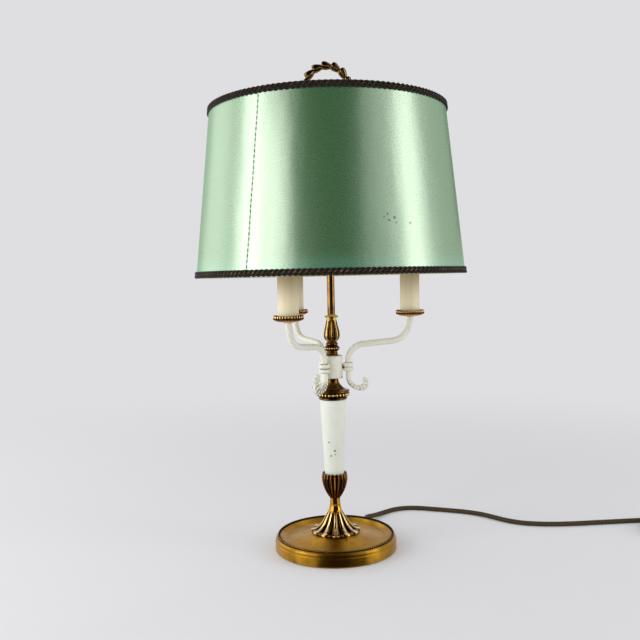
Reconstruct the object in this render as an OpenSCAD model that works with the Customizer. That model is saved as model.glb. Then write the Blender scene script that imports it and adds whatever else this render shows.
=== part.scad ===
// Bouillotte table lamp: dished brass base, white column, three fluted S arms with
// candle lights, and a drum shade that slides on the centre rod.
// Millimetres. +Z is up the rod, +X points along the right arm, and the origin is
// the centre of the base on the surface that the lamp stands on.

/* [Base] */
// Radius of the base skirt
base_r = 80; // [66:1:96]
// Height of the skirt's plain band above the felt side
band_h = 12; // [10:0.5:15]
// Height of the dish at its centre
dish_h = 22.2; // [20:0.2:26]
// Sheet thickness of the spun dish
dish_t = 1.2; // [0.8:0.1:1.6]
// Thickness of the felt pad
felt_t = 1.5; // [1:0.1:3]
// Number of beads round the dish
base_bead_n = 144; // [96:12:180]

/* [Foot and stem] */
// Height of the leafed foot
calyx_h = 26.3; // [20:0.1:32]
// Radius of the leafed foot at its petal tips
calyx_r = 32.6; // [26:0.1:38]
// Number of petals on the foot
petal_n = 12; // [8:1:14]
// Height of the turned neck
neck_h = 18.5; // [12:0.5:24]
// Height of the fluted cup
cup_h = 32.5; // [24:0.5:40]
// Number of flutes on the cup
flute_n = 20; // [14:2:24]
// Depth by which the column sits in the cup
column_seat = 3.5; // [2:0.5:6]
// Length of the white column
column_h = 102; // [80:1:124]
// Radius of the column at its top
column_top_r = 17.8; // [16.5:0.1:19]
// Radius of the column at its foot
column_foot_r = 12.6; // [11:0.1:13.2]

/* [Hub] */
// Height of the beaded collar with its neck
collar_h = 28; // [24:0.5:34]
// Number of beads on the collar
collar_bead_n = 28; // [20:1:32]
// Height of the white hub
hub_h = 29.6; // [26:0.2:36]
// Radius of the white hub
hub_r = 13.4; // [12.5:0.1:16]

/* [Arms] */
// Distance from the rod to the axis of each candle
arm_reach = 103; // [86:1:124]
// Mean radius of the arm tube
arm_r = 3.6; // [3.2:0.1:4.2]
// Number of flutes round an arm
arm_flutes = 6; // [5:1:6]
// Length in which a flute goes once round the arm
flute_lead = 58; // [40:1:80]
// Height of the knot's middle above the hub's foot
knot_rise = 14.5; // [13:0.5:16]
// Radius of the knot
knot_r = 7.2; // [6.4:0.1:7.4]

/* [Candles] */
// Width of the drip pan's brim round the sleeve
pan_brim = 6.4; // [4:0.1:10]
// Number of beads round the drip pan
pan_bead_n = 32; // [24:2:40]
// Height of the drip pan
pan_h = 9; // [8:0.5:12]
// Outer radius of the card candle sleeve
sleeve_r = 12.6; // [12.4:0.1:13.5]
// Wall of the card candle sleeve
sleeve_t = 0.8; // [0.6:0.1:1]
// Length of the candle sleeve
sleeve_h = 85; // [65:1:100]
// Largest radius of the candle bulb
bulb_r = 17.5; // [15:0.5:17.5]
// Height of the bulb glass above the holder
bulb_h = 72; // [62:1:80]

/* [Rod and handle] */
// Radius of the rod and of the tie tube
rod_r = 5; // [4.5:0.1:5.5]
// Radius of the bore through the tie tube
tube_bore_r = 3.5; // [3.2:0.1:3.6]
// Height of the beaded knop on the hub
knop_h = 18.8; // [16:0.2:24]
// Number of beads round the knop
knop_bead_n = 20; // [14:1:24]
// Height of the leafed baluster
baluster_h = 35; // [30:0.5:42]
// Number of leaves round the baluster
leaf_n = 8; // [6:1:10]
// Length of rod that stands above the baluster
rod_h = 254.4; // [240:0.2:306]
// Radius of the ring handle to the middle of its strand
ring_r = 27; // [24:0.5:30]
// Largest radius of the ring handle's strand
ring_strand_r = 4.6; // [4:0.1:5]
// Number of husks round the ring handle
husk_n = 14; // [12:1:16]

/* [Shade] */
// Radius of the shade cover at its bottom edge
shade_bottom_r = 173.6; // [148:0.1:209]
// Radius of the shade cover at its top edge
shade_top_r = 151.5; // [148:0.1:182]
// Height of the shade cover
shade_h = 214.9; // [182:0.1:220]
// Thickness of the shade cover
shade_t = 0.9; // [0.6:0.1:1.5]
// Height of the shade's top edge above the rod's end
shade_rise = 10.8; // [8:0.1:12]
// Width of the braid on the shade's edges
braid_w = 8.4; // [6:0.2:12]
// Thickness of the braid
braid_t = 1.4; // [1:0.1:2]
// Radius of the shade's frame wire
wire_r = 1.5; // [1.2:0.1:2]
// Number of spokes in the shade's frame
spoke_n = 3; // [3:1:4]

/* [Cord] */
// Radius of the cord
cord_r = 3.25; // [3:0.05:3.5]
// Height of the cord's outlet in the skirt
cord_outlet_z = 7; // [6.6:0.1:7.4]
// Length of the tapered cord grip outside the skirt
grip_out = 24; // [20:1:26]

/* [Hidden] */
$fn = 64;

brass = [0.78, 0.58, 0.24];
aged_brass = [0.55, 0.36, 0.16];
cream = [0.93, 0.92, 0.85];
card = [0.92, 0.86, 0.70];

// Clearances
slip = 0.3;           // between pieces of the stack and the tube that they are threaded on
run_gap = 0.08;       // radial gap of a fit that slides or turns
face_gap = 0.1;       // gap between faces that turn on each other
close_gap = 0.05;     // gap of a push fit

// Heights of the stack, each from the one below
dish_z = dish_h;
neck_z = dish_z + calyx_h;
cup_z = neck_z + neck_h;
column_z = cup_z + cup_h - column_seat;
collar_z = column_z + column_h;
hub_z = collar_z + collar_h;
knop_z = hub_z + hub_h;
baluster_z = knop_z + knop_h;
rod_z = baluster_z + baluster_h;
rod_top_z = rod_z + rod_h;
ferrule_h = 12;
ferrule_z = rod_top_z - ferrule_h + 2;
plinth_h = 7;
ring_z = ferrule_z + ferrule_h + plinth_h - 1.8 + ring_strand_r + ring_r;

// Base
bead_ring_r = base_r - 4.7;
bead_pitch = 2 * PI * bead_ring_r / base_bead_n;
bead_r = bead_pitch / 2 - 0.03;
bead_z = band_h + 7;
skirt_z = 0.5;
cone_edge_r = base_r - 14;
cone_edge_z = band_h + 2;
seat_r = calyx_r - 8.6;
weight_gap = 0.4;
weight_r = base_r - dish_t - 5.5;
recess_r = rod_r + 9;
lead_r = tube_bore_r - 0.6;
nut_r = rod_r + 3.8;
nut_h = 3.8;
washer_r = rod_r + 6;
washer_t = 1.2;
tube_past = 0.6;
tube_foot_z = cord_outlet_z + lead_r + 0.4;
base_nut_z = tube_foot_z + 0.3;
recess_z = base_nut_z + nut_h + washer_t;
outlet_az = 66;
outlet_r = cord_r + 1.95;
grip_r = outlet_r + 1.3;
grip_in = 5;

// Hub and arms
hub_wall = 3.4;
hub_roof = 3;
knot_x = hub_r + knot_r + 0.3;
knot_h = 11;
knot_z = hub_z + knot_rise;
nipple_r = 3;
arm_azimuths = [0, 120, -120];
ring_sides = 24;
flute_depth = 0.09;
arm_step = 3.6;

// Length and turn of each bend from the knot up to the candle
rise_bend = [[7.4, 0], [32.5, -85]];
lift_bend = [[10.5, 14], [10.1, 29], [24.6, 42], [1, 0]];
// Length and turn of each bend from the knot down to the tip of the tail
tail_bend = [[8, 0], [23.6, 90], [11.8, 90], [7.2, 75]];

// The end of one bend: a frame is [x, z, heading]
function bend(f, b) = b[1] == 0
    ? [f[0] + b[0] * cos(f[2]), f[1] + b[0] * sin(f[2]), f[2]]
    : let (radius = b[0] * 180 / (PI * b[1]), heading = f[2] + b[1])
      [f[0] + radius * (sin(heading) - sin(f[2])), f[1] - radius * (cos(heading) - cos(f[2])), heading];
// All the frames along a list of bends
function walk(f, bends, i = 0) = i == len(bends)
    ? [f] : concat([f], walk(bend(f, bends[i]), bends, i + 1));
// The same bends in steps no longer than step
function fine(bends, step) =
    [for (b = bends) let (n = ceil(b[0] / step)) each [for (i = [1:n]) [b[0] / n, b[1] / n]]];
function last(list) = list[len(list) - 1];

arm_start = [knot_x, knot_z, 90];
rise_end = last(walk(arm_start, rise_bend));
lift_end = last(walk(rise_end, lift_bend));
reach_len = (arm_reach - lift_end[0]) / cos(rise_end[2]);
arm_bends = concat(rise_bend, [[reach_len, 0]], lift_bend);
arm_end = last(walk(arm_start, arm_bends));

// Candles, from the end of the arm
pan_z = arm_end[1];
pan_floor = 2;
sleeve_z = pan_z + pan_floor + 1.4;
holder_r = sleeve_r - sleeve_t - 0.3;
holder_h = 28;
holder_z = sleeve_z + sleeve_h - holder_h;
stem_r = 5;
socket_r = 7.1;
cap_r = 6.9;
cap_h = 24;
bulb_z = sleeve_z + sleeve_h + 1.5;

// Shade and slider
shade_top_z = rod_top_z + shade_rise;
shade_z = shade_top_z - shade_h;
slider_neck_r = rod_r + 4;
slider_flange_r = slider_neck_r + 6;
slider_top_z = ferrule_z - 1.5;
slider_neck_h = 9;
slider_flange_h = 3;
slider_body_h = 16;
flange_top_z = slider_top_z - slider_neck_h;
slider_z = flange_top_z - slider_flange_h - slider_body_h;
key_z = slider_z + slider_body_h / 2;
key_shank_r = 2.5;
key_hole_r = key_shank_r + run_gap;
key_head_x = slider_neck_r + 14;
key_t = 2.6;
key_lobe_r = 5.4;
key_ear_r = 4.6;
spider_hub_r = slider_flange_r - 1;
spider_hub_h = 4;
spoke_r = wire_r - 0.2;
top_ring_r = shade_top_r - shade_t - wire_r - 0.4;
top_ring_z = shade_top_z - wire_r - 0.6;
// The bottom wire lies clear of the cover's wall by wire_gap, whatever the cover's slope
wire_gap = 0.1752;
shade_slope = atan2(shade_bottom_r - shade_top_r, shade_h);
bottom_ring_z = shade_z + wire_r + 0.6;
bottom_ring_r = cover_r(bottom_ring_z) - shade_t - (wire_r + wire_gap) / cos(shade_slope);

// Cord: the route is a list of points on the standing surface, chosen by hand
grip_end_r = base_r + grip_out;
cord_lie = cord_r;
cord_route = concat(
    [for (r = [grip_end_r, grip_end_r + 6, grip_end_r + 12])
        [r * cos(outlet_az), r * sin(outlet_az), cord_outlet_z]],
    [[60, 122, 4.6], [74, 139, cord_lie], [91, 153, cord_lie], [110, 159, cord_lie],
     [130, 157, cord_lie], [152, 150, cord_lie], [175, 142, cord_lie], [197, 133, cord_lie],
     [216, 121, cord_lie], [231, 106, cord_lie], [245, 91, cord_lie], [262, 79, cord_lie],
     [283, 72, cord_lie], [310, 69, cord_lie], [340, 70, cord_lie], [370, 73, cord_lie],
     [400, 76, cord_lie], [430, 79, cord_lie], [450, 79.6, cord_lie], [467, 79.5, cord_lie]]);
coil_x = 475;
coil_y = 36;
coil_mid_r = 37;
coil_wide = 3;
coil_high = 2;
coil_lift = 0.8;
tie_t = 0.6;
tie_w = 8;
tie_az = 200;
coil_top_z = coil_lift + 2 * cord_r * coil_high;
tail_x = coil_x + coil_mid_r + cord_r * (coil_wide - 1);
tail_route = [[tail_x, 30, 10.5], [tail_x, 20, 10.2], [tail_x, 8, 9.6], [tail_x, -4, 9.1], [tail_x, -10, 9]];
lead_route = [[tail_x, -66, 9], [tail_x, -76, 8.6], [tail_x, -86, 7.4], [tail_x, -94, 6.85],
    [tail_x, -100, 6.85]];

// In-line switch, whose length runs along Y
switch_y = -38;
switch_l = 62;
switch_w = 26;
switch_h = 18;
switch_wall = 2;
switch_part_z = 9;
cord_hole_r = cord_r + close_gap;
rocker_tilt = 8;
rocker_pivot_z = 12;
rocker_r = 11.4;
rocker_w = 12.4;
rocker_window = 11;
trunnion_r = 1.5;
screw_x = 22;
screw_y = 7.5;
screw_r = 1.4;

// Flat two-pin plug
plug_y = -120;
plug_w = 35.3;
plug_h = 13.7;
plug_l = 32;
pin_r = 2;
pin_gap = 19;
pin_l = 19;
shank_r = pin_r - 0.3;
shank_l = 6;

// Points of an arc in a profile
function arc(cx, cy, r, from, to, n = 8) =
    [for (i = [0:n]) let (a = from + (to - from) * i / n) [cx + r * cos(a), cy + r * sin(a)]];

// Faces of a grid of rings that is closed round each ring
function side_faces(m, n, joined) =
    [for (j = [0:(joined ? m - 1 : m - 2)], i = [0:n - 1])
        let (a = j * n + i, b = j * n + (i + 1) % n, c = ((j + 1) % m) * n + (i + 1) % n,
             d = ((j + 1) % m) * n + i)
        each [[a, d, c], [a, c, b]]];

// A closed skin over a list of rings: an open list gets an end face at each end
module skin(rings, joined = false) {
    m = len(rings);
    n = len(rings[0]);
    caps = joined ? [] : [[for (i = [0:n - 1]) i], [for (i = [n - 1:-1:0]) (m - 1) * n + i]];
    polyhedron(points = [for (r = rings) each r], faces = concat(side_faces(m, n, joined), caps),
        convexity = 8);
}

// A turned solid from a profile of [radius, height] points
module turned(profile) rotate_extrude() polygon(profile);

// A turned solid with lobes: each profile point is [radius, height, depth of the grooves].
// The radius drops by the depth in each groove between two rounded lobes.
module lobed(profile, lobes, per) {
    n = lobes * per;
    skin([for (p = profile) [for (i = [0:n - 1])
        let (a = 360 * i / n, r = p[0] - p[2] * (1 - abs(cos(lobes * a / 2))))
        [r * cos(a), r * sin(a), p[1]]]], joined = true);
}

// ---- Base ----

module base_felt() color("darkolivegreen")
    cylinder(r = base_r - 2.4, h = felt_t);

// Spun sheet: outer line from the skirt's foot to the centre, then back inside it
module base_dish() color(brass) difference() {
    turned([
        [base_r - 0.4, skirt_z], [base_r, skirt_z + 0.6], [base_r, band_h - 0.4], [base_r - 0.5, band_h],
        [base_r - 1.3, band_h + 0.5], [base_r - 0.9, band_h + 1.6], [base_r - 0.8, band_h + 3],
        [base_r - 1.3, band_h + 4.4], [base_r - 2.4, band_h + 5.4], [bead_ring_r + 0.6, band_h + 5.8],
        [bead_ring_r - 1.8, band_h + 5.8], [bead_ring_r - 3.4, band_h + 4.4],
        [bead_ring_r - 5.6, band_h + 2.8], [cone_edge_r, cone_edge_z],
        [seat_r, dish_z], [rod_r + slip, dish_z],
        [rod_r + slip, dish_z - dish_t], [seat_r, dish_z - dish_t],
        [cone_edge_r, cone_edge_z - dish_t], [bead_ring_r - 6, band_h + 2.8 - dish_t],
        [bead_ring_r - 3.4, band_h + 4.4 - dish_t], [bead_ring_r + 0.6, band_h + 5.8 - dish_t],
        [base_r - 2.6, band_h + 3.4], [base_r - 2.4, band_h - 0.4], [base_r - dish_t, band_h - 1.4],
        [base_r - dish_t, skirt_z]]);
    bead_wire(bead_r + close_gap);
    rotate([0, 0, outlet_az]) translate([base_r - 8, 0, cord_outlet_z]) rotate([0, 90, 0])
        cylinder(r = outlet_r, h = 12);
}

// Round wire of radius r that lies in the dish's groove
module bead_wire(r)
    translate([0, 0, bead_z]) rotate_extrude() translate([bead_ring_r, 0]) circle(r = r, $fn = 32);

// Beads strung on a wire, a bead's width apart
module base_beads() color(aged_brass) {
    bead_wire(bead_r - 0.5);
    for (i = [0:base_bead_n - 1]) rotate([0, 0, 360 * i / base_bead_n])
        translate([bead_ring_r, 0, bead_z]) sphere(r = bead_r, $fn = 16);
}

// Ballast of cast iron, with a recess for the nut and a channel for the lead
module base_weight() color("dimgray") difference() {
    turned([
        [rod_r + slip, felt_t], [weight_r, felt_t], [weight_r, band_h - 2],
        [cone_edge_r - 1, cone_edge_z - dish_t - weight_gap],
        [seat_r, dish_z - dish_t - weight_gap], [seat_r - 1, dish_z - dish_t],
        [rod_r + slip, dish_z - dish_t]]);
    translate([0, 0, felt_t - 1]) cylinder(r = recess_r, h = recess_z - felt_t + 1);
    rotate([0, 0, outlet_az]) translate([0, -outlet_r, felt_t - 1])
        cube([base_r, 2 * outlet_r, cord_outlet_z + outlet_r - felt_t + 1]);
}

// Hexagon nut bored for the tube
module tube_nut(z) translate([0, 0, z]) difference() {
    cylinder(r = nut_r, h = nut_h, $fn = 6);
    translate([0, 0, -1]) cylinder(r = rod_r + close_gap, h = nut_h + 2);
}

module tube_washer(z) translate([0, 0, z]) difference() {
    cylinder(r = min(washer_r, hub_r - hub_wall - 0.4), h = washer_t);
    translate([0, 0, -1]) cylinder(r = rod_r + close_gap, h = washer_t + 2);
}

module tube_nuts() color("goldenrod") {
    tube_nut(base_nut_z);
    tube_nut(hub_z + washer_t);
    tube_nut(knop_z - hub_roof - washer_t - nut_h);
}

module tube_washers() color("silver") {
    tube_washer(recess_z - washer_t);
    tube_washer(hub_z);
    tube_washer(knop_z - hub_roof - washer_t);
}

// Bush in the skirt, tapered outside where the cord leaves it
module cord_grip() color("black")
    rotate([0, 0, outlet_az]) translate([0, 0, cord_outlet_z]) rotate([0, 90, 0]) turned([
        [0, base_r - dish_t - grip_in], [grip_r - 1, base_r - dish_t - grip_in],
        [grip_r - 1, base_r - dish_t - 2.6],
        [outlet_r - 0.1, base_r - dish_t - 2.4], [outlet_r - 0.1, base_r + 0.4], [grip_r, base_r + 0.4],
        [grip_r, base_r + 2.4], [grip_r - 0.9, base_r + 3.2], [cord_r + 0.9, grip_end_r], [0, grip_end_r]]);

// ---- Foot and stem ----

neck_r = rod_r + 1.6;
neck_foot_r = rod_r + 4.4;
neck_top_r = rod_r + 2;
calyx_flare = calyx_r - neck_foot_r;

// Petals, as [share of the flare, share of the height, groove depth] from the tips up
calyx_petals = [[0.966, -0.027, 2.4], [1, -0.011, 2.8], [0.974, 0.053, 3], [0.845, 0.16, 2.9],
    [0.629, 0.319, 2.6], [0.414, 0.525, 2.1], [0.216, 0.753, 1.5], [0.069, 0.928, 0.9]];
module foot_calyx() color(brass) lobed(concat(
    [[rod_r + slip, dish_z, 0], [seat_r, dish_z, 0]],
    [for (c = calyx_petals) [neck_foot_r + calyx_flare * c[0], dish_z + calyx_h * c[1], c[2]]],
    [[neck_foot_r, neck_z, 0.2], [rod_r + slip, neck_z, 0]]), petal_n, 6);

module stem_neck() color(brass) turned(concat(
        [[rod_r + slip, neck_z], [neck_foot_r - 0.2, neck_z], [neck_foot_r, neck_z + 0.8],
        [neck_foot_r - 0.8, neck_z + 1.8]],
        [for (i = [0:8]) let (t = i / 8) [neck_r + 1.7 * pow(1 - t, 2), neck_z + 2.6 + t * (neck_h - 3.6)]],
        [[neck_top_r, cup_z - 0.6], [neck_top_r, cup_z], [rod_r + slip, cup_z]]));

cup_r = column_foot_r + 4.3;
cup_rim_z = cup_z + cup_h;
module tulip_cup() color(aged_brass) lobed([
        [rod_r + slip, cup_z, 0], [neck_top_r - 0.2, cup_z, 0.1], [cup_r - 8, cup_z + 0.08 * cup_h, 0.4],
        [cup_r - 4.9, cup_z + 0.24 * cup_h, 0.8], [cup_r - 2.3, cup_z + 0.42 * cup_h, 1.0],
        [cup_r - 0.6, cup_z + 0.62 * cup_h, 1.1], [cup_r, cup_z + 0.80 * cup_h, 1.0],
        [cup_r - 0.5, cup_rim_z - 2.2, 0.8], [cup_r - 1.3, cup_rim_z, 0.3],
        [column_foot_r + 1.6, cup_rim_z - 0.2, 0], [column_foot_r + slip + 0.3, column_z, 0],
        [rod_r + slip, column_z, 0]], flute_n, 4);

// Tapered tube with a thick floor and roof that centre it on the tie tube
module column() color(cream) difference() {
    turned([
        [rod_r + slip, column_z], [column_foot_r, column_z], [column_top_r - 0.4, collar_z - 0.8],
        [column_top_r - 0.9, collar_z], [rod_r + slip, collar_z]]);
    translate([0, 0, column_z + 5])
        cylinder(r1 = column_foot_r - 2.2, r2 = column_top_r - 2.8, h = column_h - 10);
}

// ---- Collar and hub ----

collar_r = column_top_r + 2.4;
collar_bead_r = PI * collar_r / collar_bead_n - 0.06;
collar_bead_z = collar_z + 6.8;
collar_neck_z = collar_z + 13.3;
collar_neck_r = rod_r + 2.6;
module beaded_collar() color(aged_brass) {
    turned(concat(
        [[rod_r + slip, collar_z], [collar_r - 3.8, collar_z]],
        arc(collar_r - 2.8, collar_z + 1.5, 1.5, -80, 60, 5),
        [[collar_r - 1.6, collar_z + 3.4], [collar_r - 0.6, collar_z + 4.6],
         [collar_r - 0.6, collar_z + 8.8], [collar_r + 1, collar_z + 9.2]],
        arc(collar_r, collar_z + 10.8, 1.8, -40, 80, 5),
        [for (i = [0:8]) let (t = i / 8)
            [collar_neck_r + (collar_r - 3 - collar_neck_r) * pow(1 - t, 2.2),
             collar_neck_z + t * (hub_z - 1.4 - collar_neck_z)]],
        [[collar_neck_r + 0.8, hub_z - 0.9], [collar_neck_r + 0.8, hub_z], [rod_r + slip, hub_z]]));
    for (i = [0:collar_bead_n - 1]) rotate([0, 0, 360 * i / collar_bead_n])
        translate([collar_r, 0, collar_bead_z]) sphere(r = collar_bead_r, $fn = 24);
}

module hub() color(cream) difference() {
    turned([
        [hub_r - 2.6, hub_z], [hub_r - 0.3, hub_z], [hub_r, hub_z + 0.4], [hub_r, knop_z - 0.5],
        [hub_r - 0.5, knop_z], [rod_r + slip, knop_z], [rod_r + slip, knop_z - hub_roof],
        [hub_r - hub_wall, knop_z - hub_roof], [hub_r - hub_wall, hub_z]]);
    for (a = arm_azimuths) rotate([0, 0, a]) translate([0, 0, knot_z]) rotate([0, 90, 0])
        cylinder(r = nipple_r + close_gap, h = hub_r + 2);
}

// ---- Arms ----

// One ring of an arm at a frame: half-height a in the arm's plane, half-width b across
// it, and grooves of relative depth d turned by the angle p
function arm_ring(f, a, b, d, p) = [for (i = [0:ring_sides - 1])
    let (t = 360 * i / ring_sides, k = 1 + d * cos(arm_flutes * t + p),
         u = k * a * cos(t), v = k * b * sin(t))
    [f[0] - u * sin(f[2]), -v, f[1] + u * cos(f[2])]];

// Half-height and half-width of the leaf tail at the share t of its length from the knot
function tail_high(t) = 3.3 - 0.5 * t + 1.3 * pow(sin(180 * max(0, t - 0.45) / 0.55), 2) - 2.2 * pow(t, 8);
function tail_wide(t) = 4.1 + 1.4 * sin(180 * min(1, t * 1.05)) - 2.4 * pow(t, 6);

tail_steps = fine(tail_bend, 3.2);
tail_frames = walk([knot_x, knot_z - knot_h / 2, -90], tail_steps);
tail_n = len(tail_frames) - 1;
knot_rings = [[-knot_h / 2, knot_r - 1.2], [-knot_h / 2 + 0.1, knot_r - 0.5], [-1.6, knot_r - 0.5],
    [-0.7, knot_r - 1.5], [0.4, knot_r - 1.5], [1.2, knot_r], [knot_h / 2 - 1.3, knot_r],
    [knot_h / 2, knot_r - 2]];
arm_steps = fine(arm_bends, arm_step);
arm_frames = walk(arm_start, arm_steps);

// One arm: leaf tail from its tip, knot, and fluted tube up to the candle
module arm() skin(concat(
    [for (i = [tail_n:-1:1]) let (f = tail_frames[i], t = i / tail_n)
        arm_ring([f[0], f[1], f[2] + 180], tail_high(t), tail_wide(t), 0.04 * sin(180 * t), 0)],
    [for (k = knot_rings) arm_ring([knot_x, knot_z + k[0], 90], k[1], k[1], 0, 0)],
    [for (i = [2:len(arm_frames) - 1])
        arm_ring(arm_frames[i], arm_r, arm_r, flute_depth, 360 * arm_flutes * i * arm_step / flute_lead)]));

module at_arm(i) rotate([0, 0, arm_azimuths[i]]) children();
module at_candle(i) at_arm(i) translate([arm_reach, 0, 0]) children();

module arm_right() color(cream) at_arm(0) arm();
module arm_back_left() color(cream) at_arm(1) arm();
module arm_front_left() color(cream) at_arm(2) arm();

// Hollow threaded nipples that hold the arms on the hub and pass the wires
module arm_nipples() color("goldenrod") for (a = arm_azimuths) rotate([0, 0, a])
    translate([hub_r - hub_wall - 1.5, 0, knot_z]) rotate([0, 90, 0]) difference() {
        cylinder(r = nipple_r, h = knot_x - hub_r + hub_wall + 1.5 - 2);
        translate([0, 0, -1]) cylinder(r = nipple_r - 1.2, h = knot_x);
    }

// ---- Candles ----

pan_r = sleeve_r + pan_brim;
pan_well_r = pan_r - 8.6;
pan_bead_at = pan_r - 1.7;
pan_bead_r = PI * pan_bead_at / pan_bead_n - 0.03;
pan_edge_z = pan_z + pan_h - 2 * pan_bead_r;

// Shallow bowl with a row of beads round its rim
module drip_pan() color(aged_brass) {
    turned(concat(
        [[0, pan_z], [arm_r + 1.8, pan_z], [arm_r + 2.8, pan_z + 1], [pan_well_r, pan_z + 1.6]],
        [for (i = [1:6]) let (t = i / 6)
            [pan_well_r + (pan_bead_at + 0.6 - pan_well_r) * sin(90 * t),
             pan_z + 1.6 + (pan_edge_z - pan_z - 1.6) * (1 - cos(90 * t))]],
        [[pan_bead_at - 0.2, pan_edge_z + 0.5], [pan_bead_at - 0.2, pan_z + pan_h - 0.3],
         [pan_bead_at - 1.1, pan_z + pan_h - 0.3], [sleeve_r + 0.375 * pan_brim, pan_z + 0.49 * pan_h],
         [sleeve_r + 0.5, sleeve_z], [0, sleeve_z]]));
    for (i = [0:pan_bead_n - 1]) rotate([0, 0, 360 * i / pan_bead_n])
        translate([pan_bead_at, 0, pan_edge_z + pan_bead_r]) sphere(r = pan_bead_r, $fn = 16);
}

module candle_sleeve() color(card) translate([0, 0, sleeve_z]) difference() {
    cylinder(r = sleeve_r, h = sleeve_h);
    translate([0, 0, -1]) cylinder(r = sleeve_r - sleeve_t, h = sleeve_h + 2);
}

// Holder on its stem, with a round socket for the bulb's cap
module lamp_holder() color("ivory") difference() {
    union() {
        translate([0, 0, sleeve_z]) cylinder(r = stem_r, h = sleeve_h - holder_h + 1);
        translate([0, 0, holder_z]) cylinder(r = holder_r, h = holder_h - 0.6);
        translate([0, 0, sleeve_z]) cylinder(r = holder_r, h = 3);
    }
    translate([0, 0, bulb_z - cap_h - 1.5]) cylinder(r = socket_r, h = cap_h + 2);
}

module bulb_cap() color("silver") turned([
    [0, bulb_z - cap_h - 1.4], [2.6, bulb_z - cap_h - 1.4], [4.4, bulb_z - cap_h + 1.6],
    [cap_r, bulb_z - cap_h + 3],
    [cap_r, bulb_z], [0, bulb_z]]);

module bulb_glass() color([1, 0.97, 0.9, 0.5]) turned(concat(
    [[0, bulb_z], [cap_r, bulb_z]],
    [for (i = [1:8]) let (t = i / 8)
        [cap_r + (bulb_r - cap_r) * (1 - cos(180 * t)) / 2, bulb_z + 0.42 * bulb_h * t]],
    [for (i = [1:9]) let (t = i / 10) [bulb_r * pow(cos(90 * t), 0.8), bulb_z + bulb_h * (0.42 + 0.56 * t)]],
    [[0, bulb_z + bulb_h]]));

module drip_pan_right() at_candle(0) drip_pan();
module drip_pan_back_left() at_candle(1) drip_pan();
module drip_pan_front_left() at_candle(2) drip_pan();
module candle_sleeve_right() at_candle(0) candle_sleeve();
module candle_sleeve_back_left() at_candle(1) candle_sleeve();
module candle_sleeve_front_left() at_candle(2) candle_sleeve();
module lamp_holder_right() at_candle(0) lamp_holder();
module lamp_holder_back_left() at_candle(1) lamp_holder();
module lamp_holder_front_left() at_candle(2) lamp_holder();
module bulb_cap_right() at_candle(0) bulb_cap();
module bulb_cap_back_left() at_candle(1) bulb_cap();
module bulb_cap_front_left() at_candle(2) bulb_cap();
module bulb_glass_right() at_candle(0) bulb_glass();
module bulb_glass_back_left() at_candle(1) bulb_glass();
module bulb_glass_front_left() at_candle(2) bulb_glass();

// ---- Rod ----

knop_bead_at = rod_r + 0.25 * knop_h - 0.5;
knop_bead_r = PI * knop_bead_at / knop_bead_n - 0.03;
module bead_knop() color(aged_brass) {
    turned(concat(
        [[rod_r + slip, knop_z], [rod_r + 2.6, knop_z], [rod_r + 2.6, knop_z + 0.21 * knop_h]],
        arc(rod_r + 0.7, knop_z + 0.5 * knop_h, 0.25 * knop_h - 0.6, -75, 75, 8),
        arc(rod_r + 1.1, knop_z + 0.787 * knop_h, 0.106 * knop_h, -25, 60, 4),
        [[rod_r + 1.4, baluster_z], [rod_r + slip, baluster_z]]));
    for (i = [0:knop_bead_n - 1]) rotate([0, 0, 360 * i / knop_bead_n])
        translate([knop_bead_at, 0, knop_z + 0.5 * knop_h]) sphere(r = knop_bead_r, $fn = 16);
}

// Leaves, as [radius over the rod, share of the height, groove depth] from the foot up
baluster_leaves = [[2.2, 0, 0], [4.4, 0.1, 0.6], [5.5, 0.24, 1], [5, 0.38, 1.1], [3.7, 0.52, 0.9],
    [2.4, 0.68, 0.5], [1.6, 0.8, 0], [2.6, 0.86, 0], [3.3, 0.92, 0.2], [2.2, 1, 0]];
module leaf_baluster() color(aged_brass) lobed(concat(
    [[rod_r + slip, baluster_z, 0]],
    [for (l = baluster_leaves) [rod_r + l[0], baluster_z + baluster_h * l[1], l[2]]],
    [[rod_r + slip, rod_z, 0]]), leaf_n, 6);

// Tube that is solid over rod_end_h at its top
rod_foot_z = knop_z - hub_roof - washer_t - nut_h - tube_past;
rod_end_h = 9;
module rod() color(brass) translate([0, 0, rod_foot_z]) difference() {
    cylinder(r = rod_r, h = rod_top_z - rod_foot_z);
    translate([0, 0, -1]) cylinder(r = tube_bore_r, h = rod_top_z - rod_foot_z - rod_end_h + 1);
}

module tie_tube() color("goldenrod") translate([0, 0, tube_foot_z]) difference() {
    cylinder(r = rod_r, h = hub_z + washer_t + nut_h + tube_past - tube_foot_z);
    translate([0, 0, -1]) cylinder(r = tube_bore_r, h = hub_z);
}

// Lead from the cord grip to the middle of the base and up the tie tube
module inner_lead() color("saddlebrown") {
    translate([0, 0, cord_outlet_z - lead_r])
        cylinder(r = lead_r, h = hub_z + washer_t + nut_h - cord_outlet_z + lead_r);
    rotate([0, 0, outlet_az]) translate([0, 0, cord_outlet_z]) rotate([0, 90, 0])
        cylinder(r = lead_r - 0.1, h = base_r - dish_t - grip_in);
}

// Turned cap nut on the rod's end, with a foot for the ring
module handle_ferrule() color(aged_brass) difference() {
    turned(concat(
        [[0, ferrule_z], [rod_r + 2.2, ferrule_z], [rod_r + 3.2, ferrule_z + 1], [rod_r + 3.2, ferrule_z + 3],
         [rod_r + 1.8, ferrule_z + 4.2]],
        arc(rod_r + 0.6, ferrule_z + 7.6, 3, -60, 60, 6),
        [[rod_r + 1, ferrule_z + ferrule_h - 0.6], [rod_r + 1, ferrule_z + ferrule_h],
        [0, ferrule_z + ferrule_h]]));
    translate([0, 0, ferrule_z - 1]) cylinder(r = rod_r + close_gap, h = rod_top_z - ferrule_z + 1);
}

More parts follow.
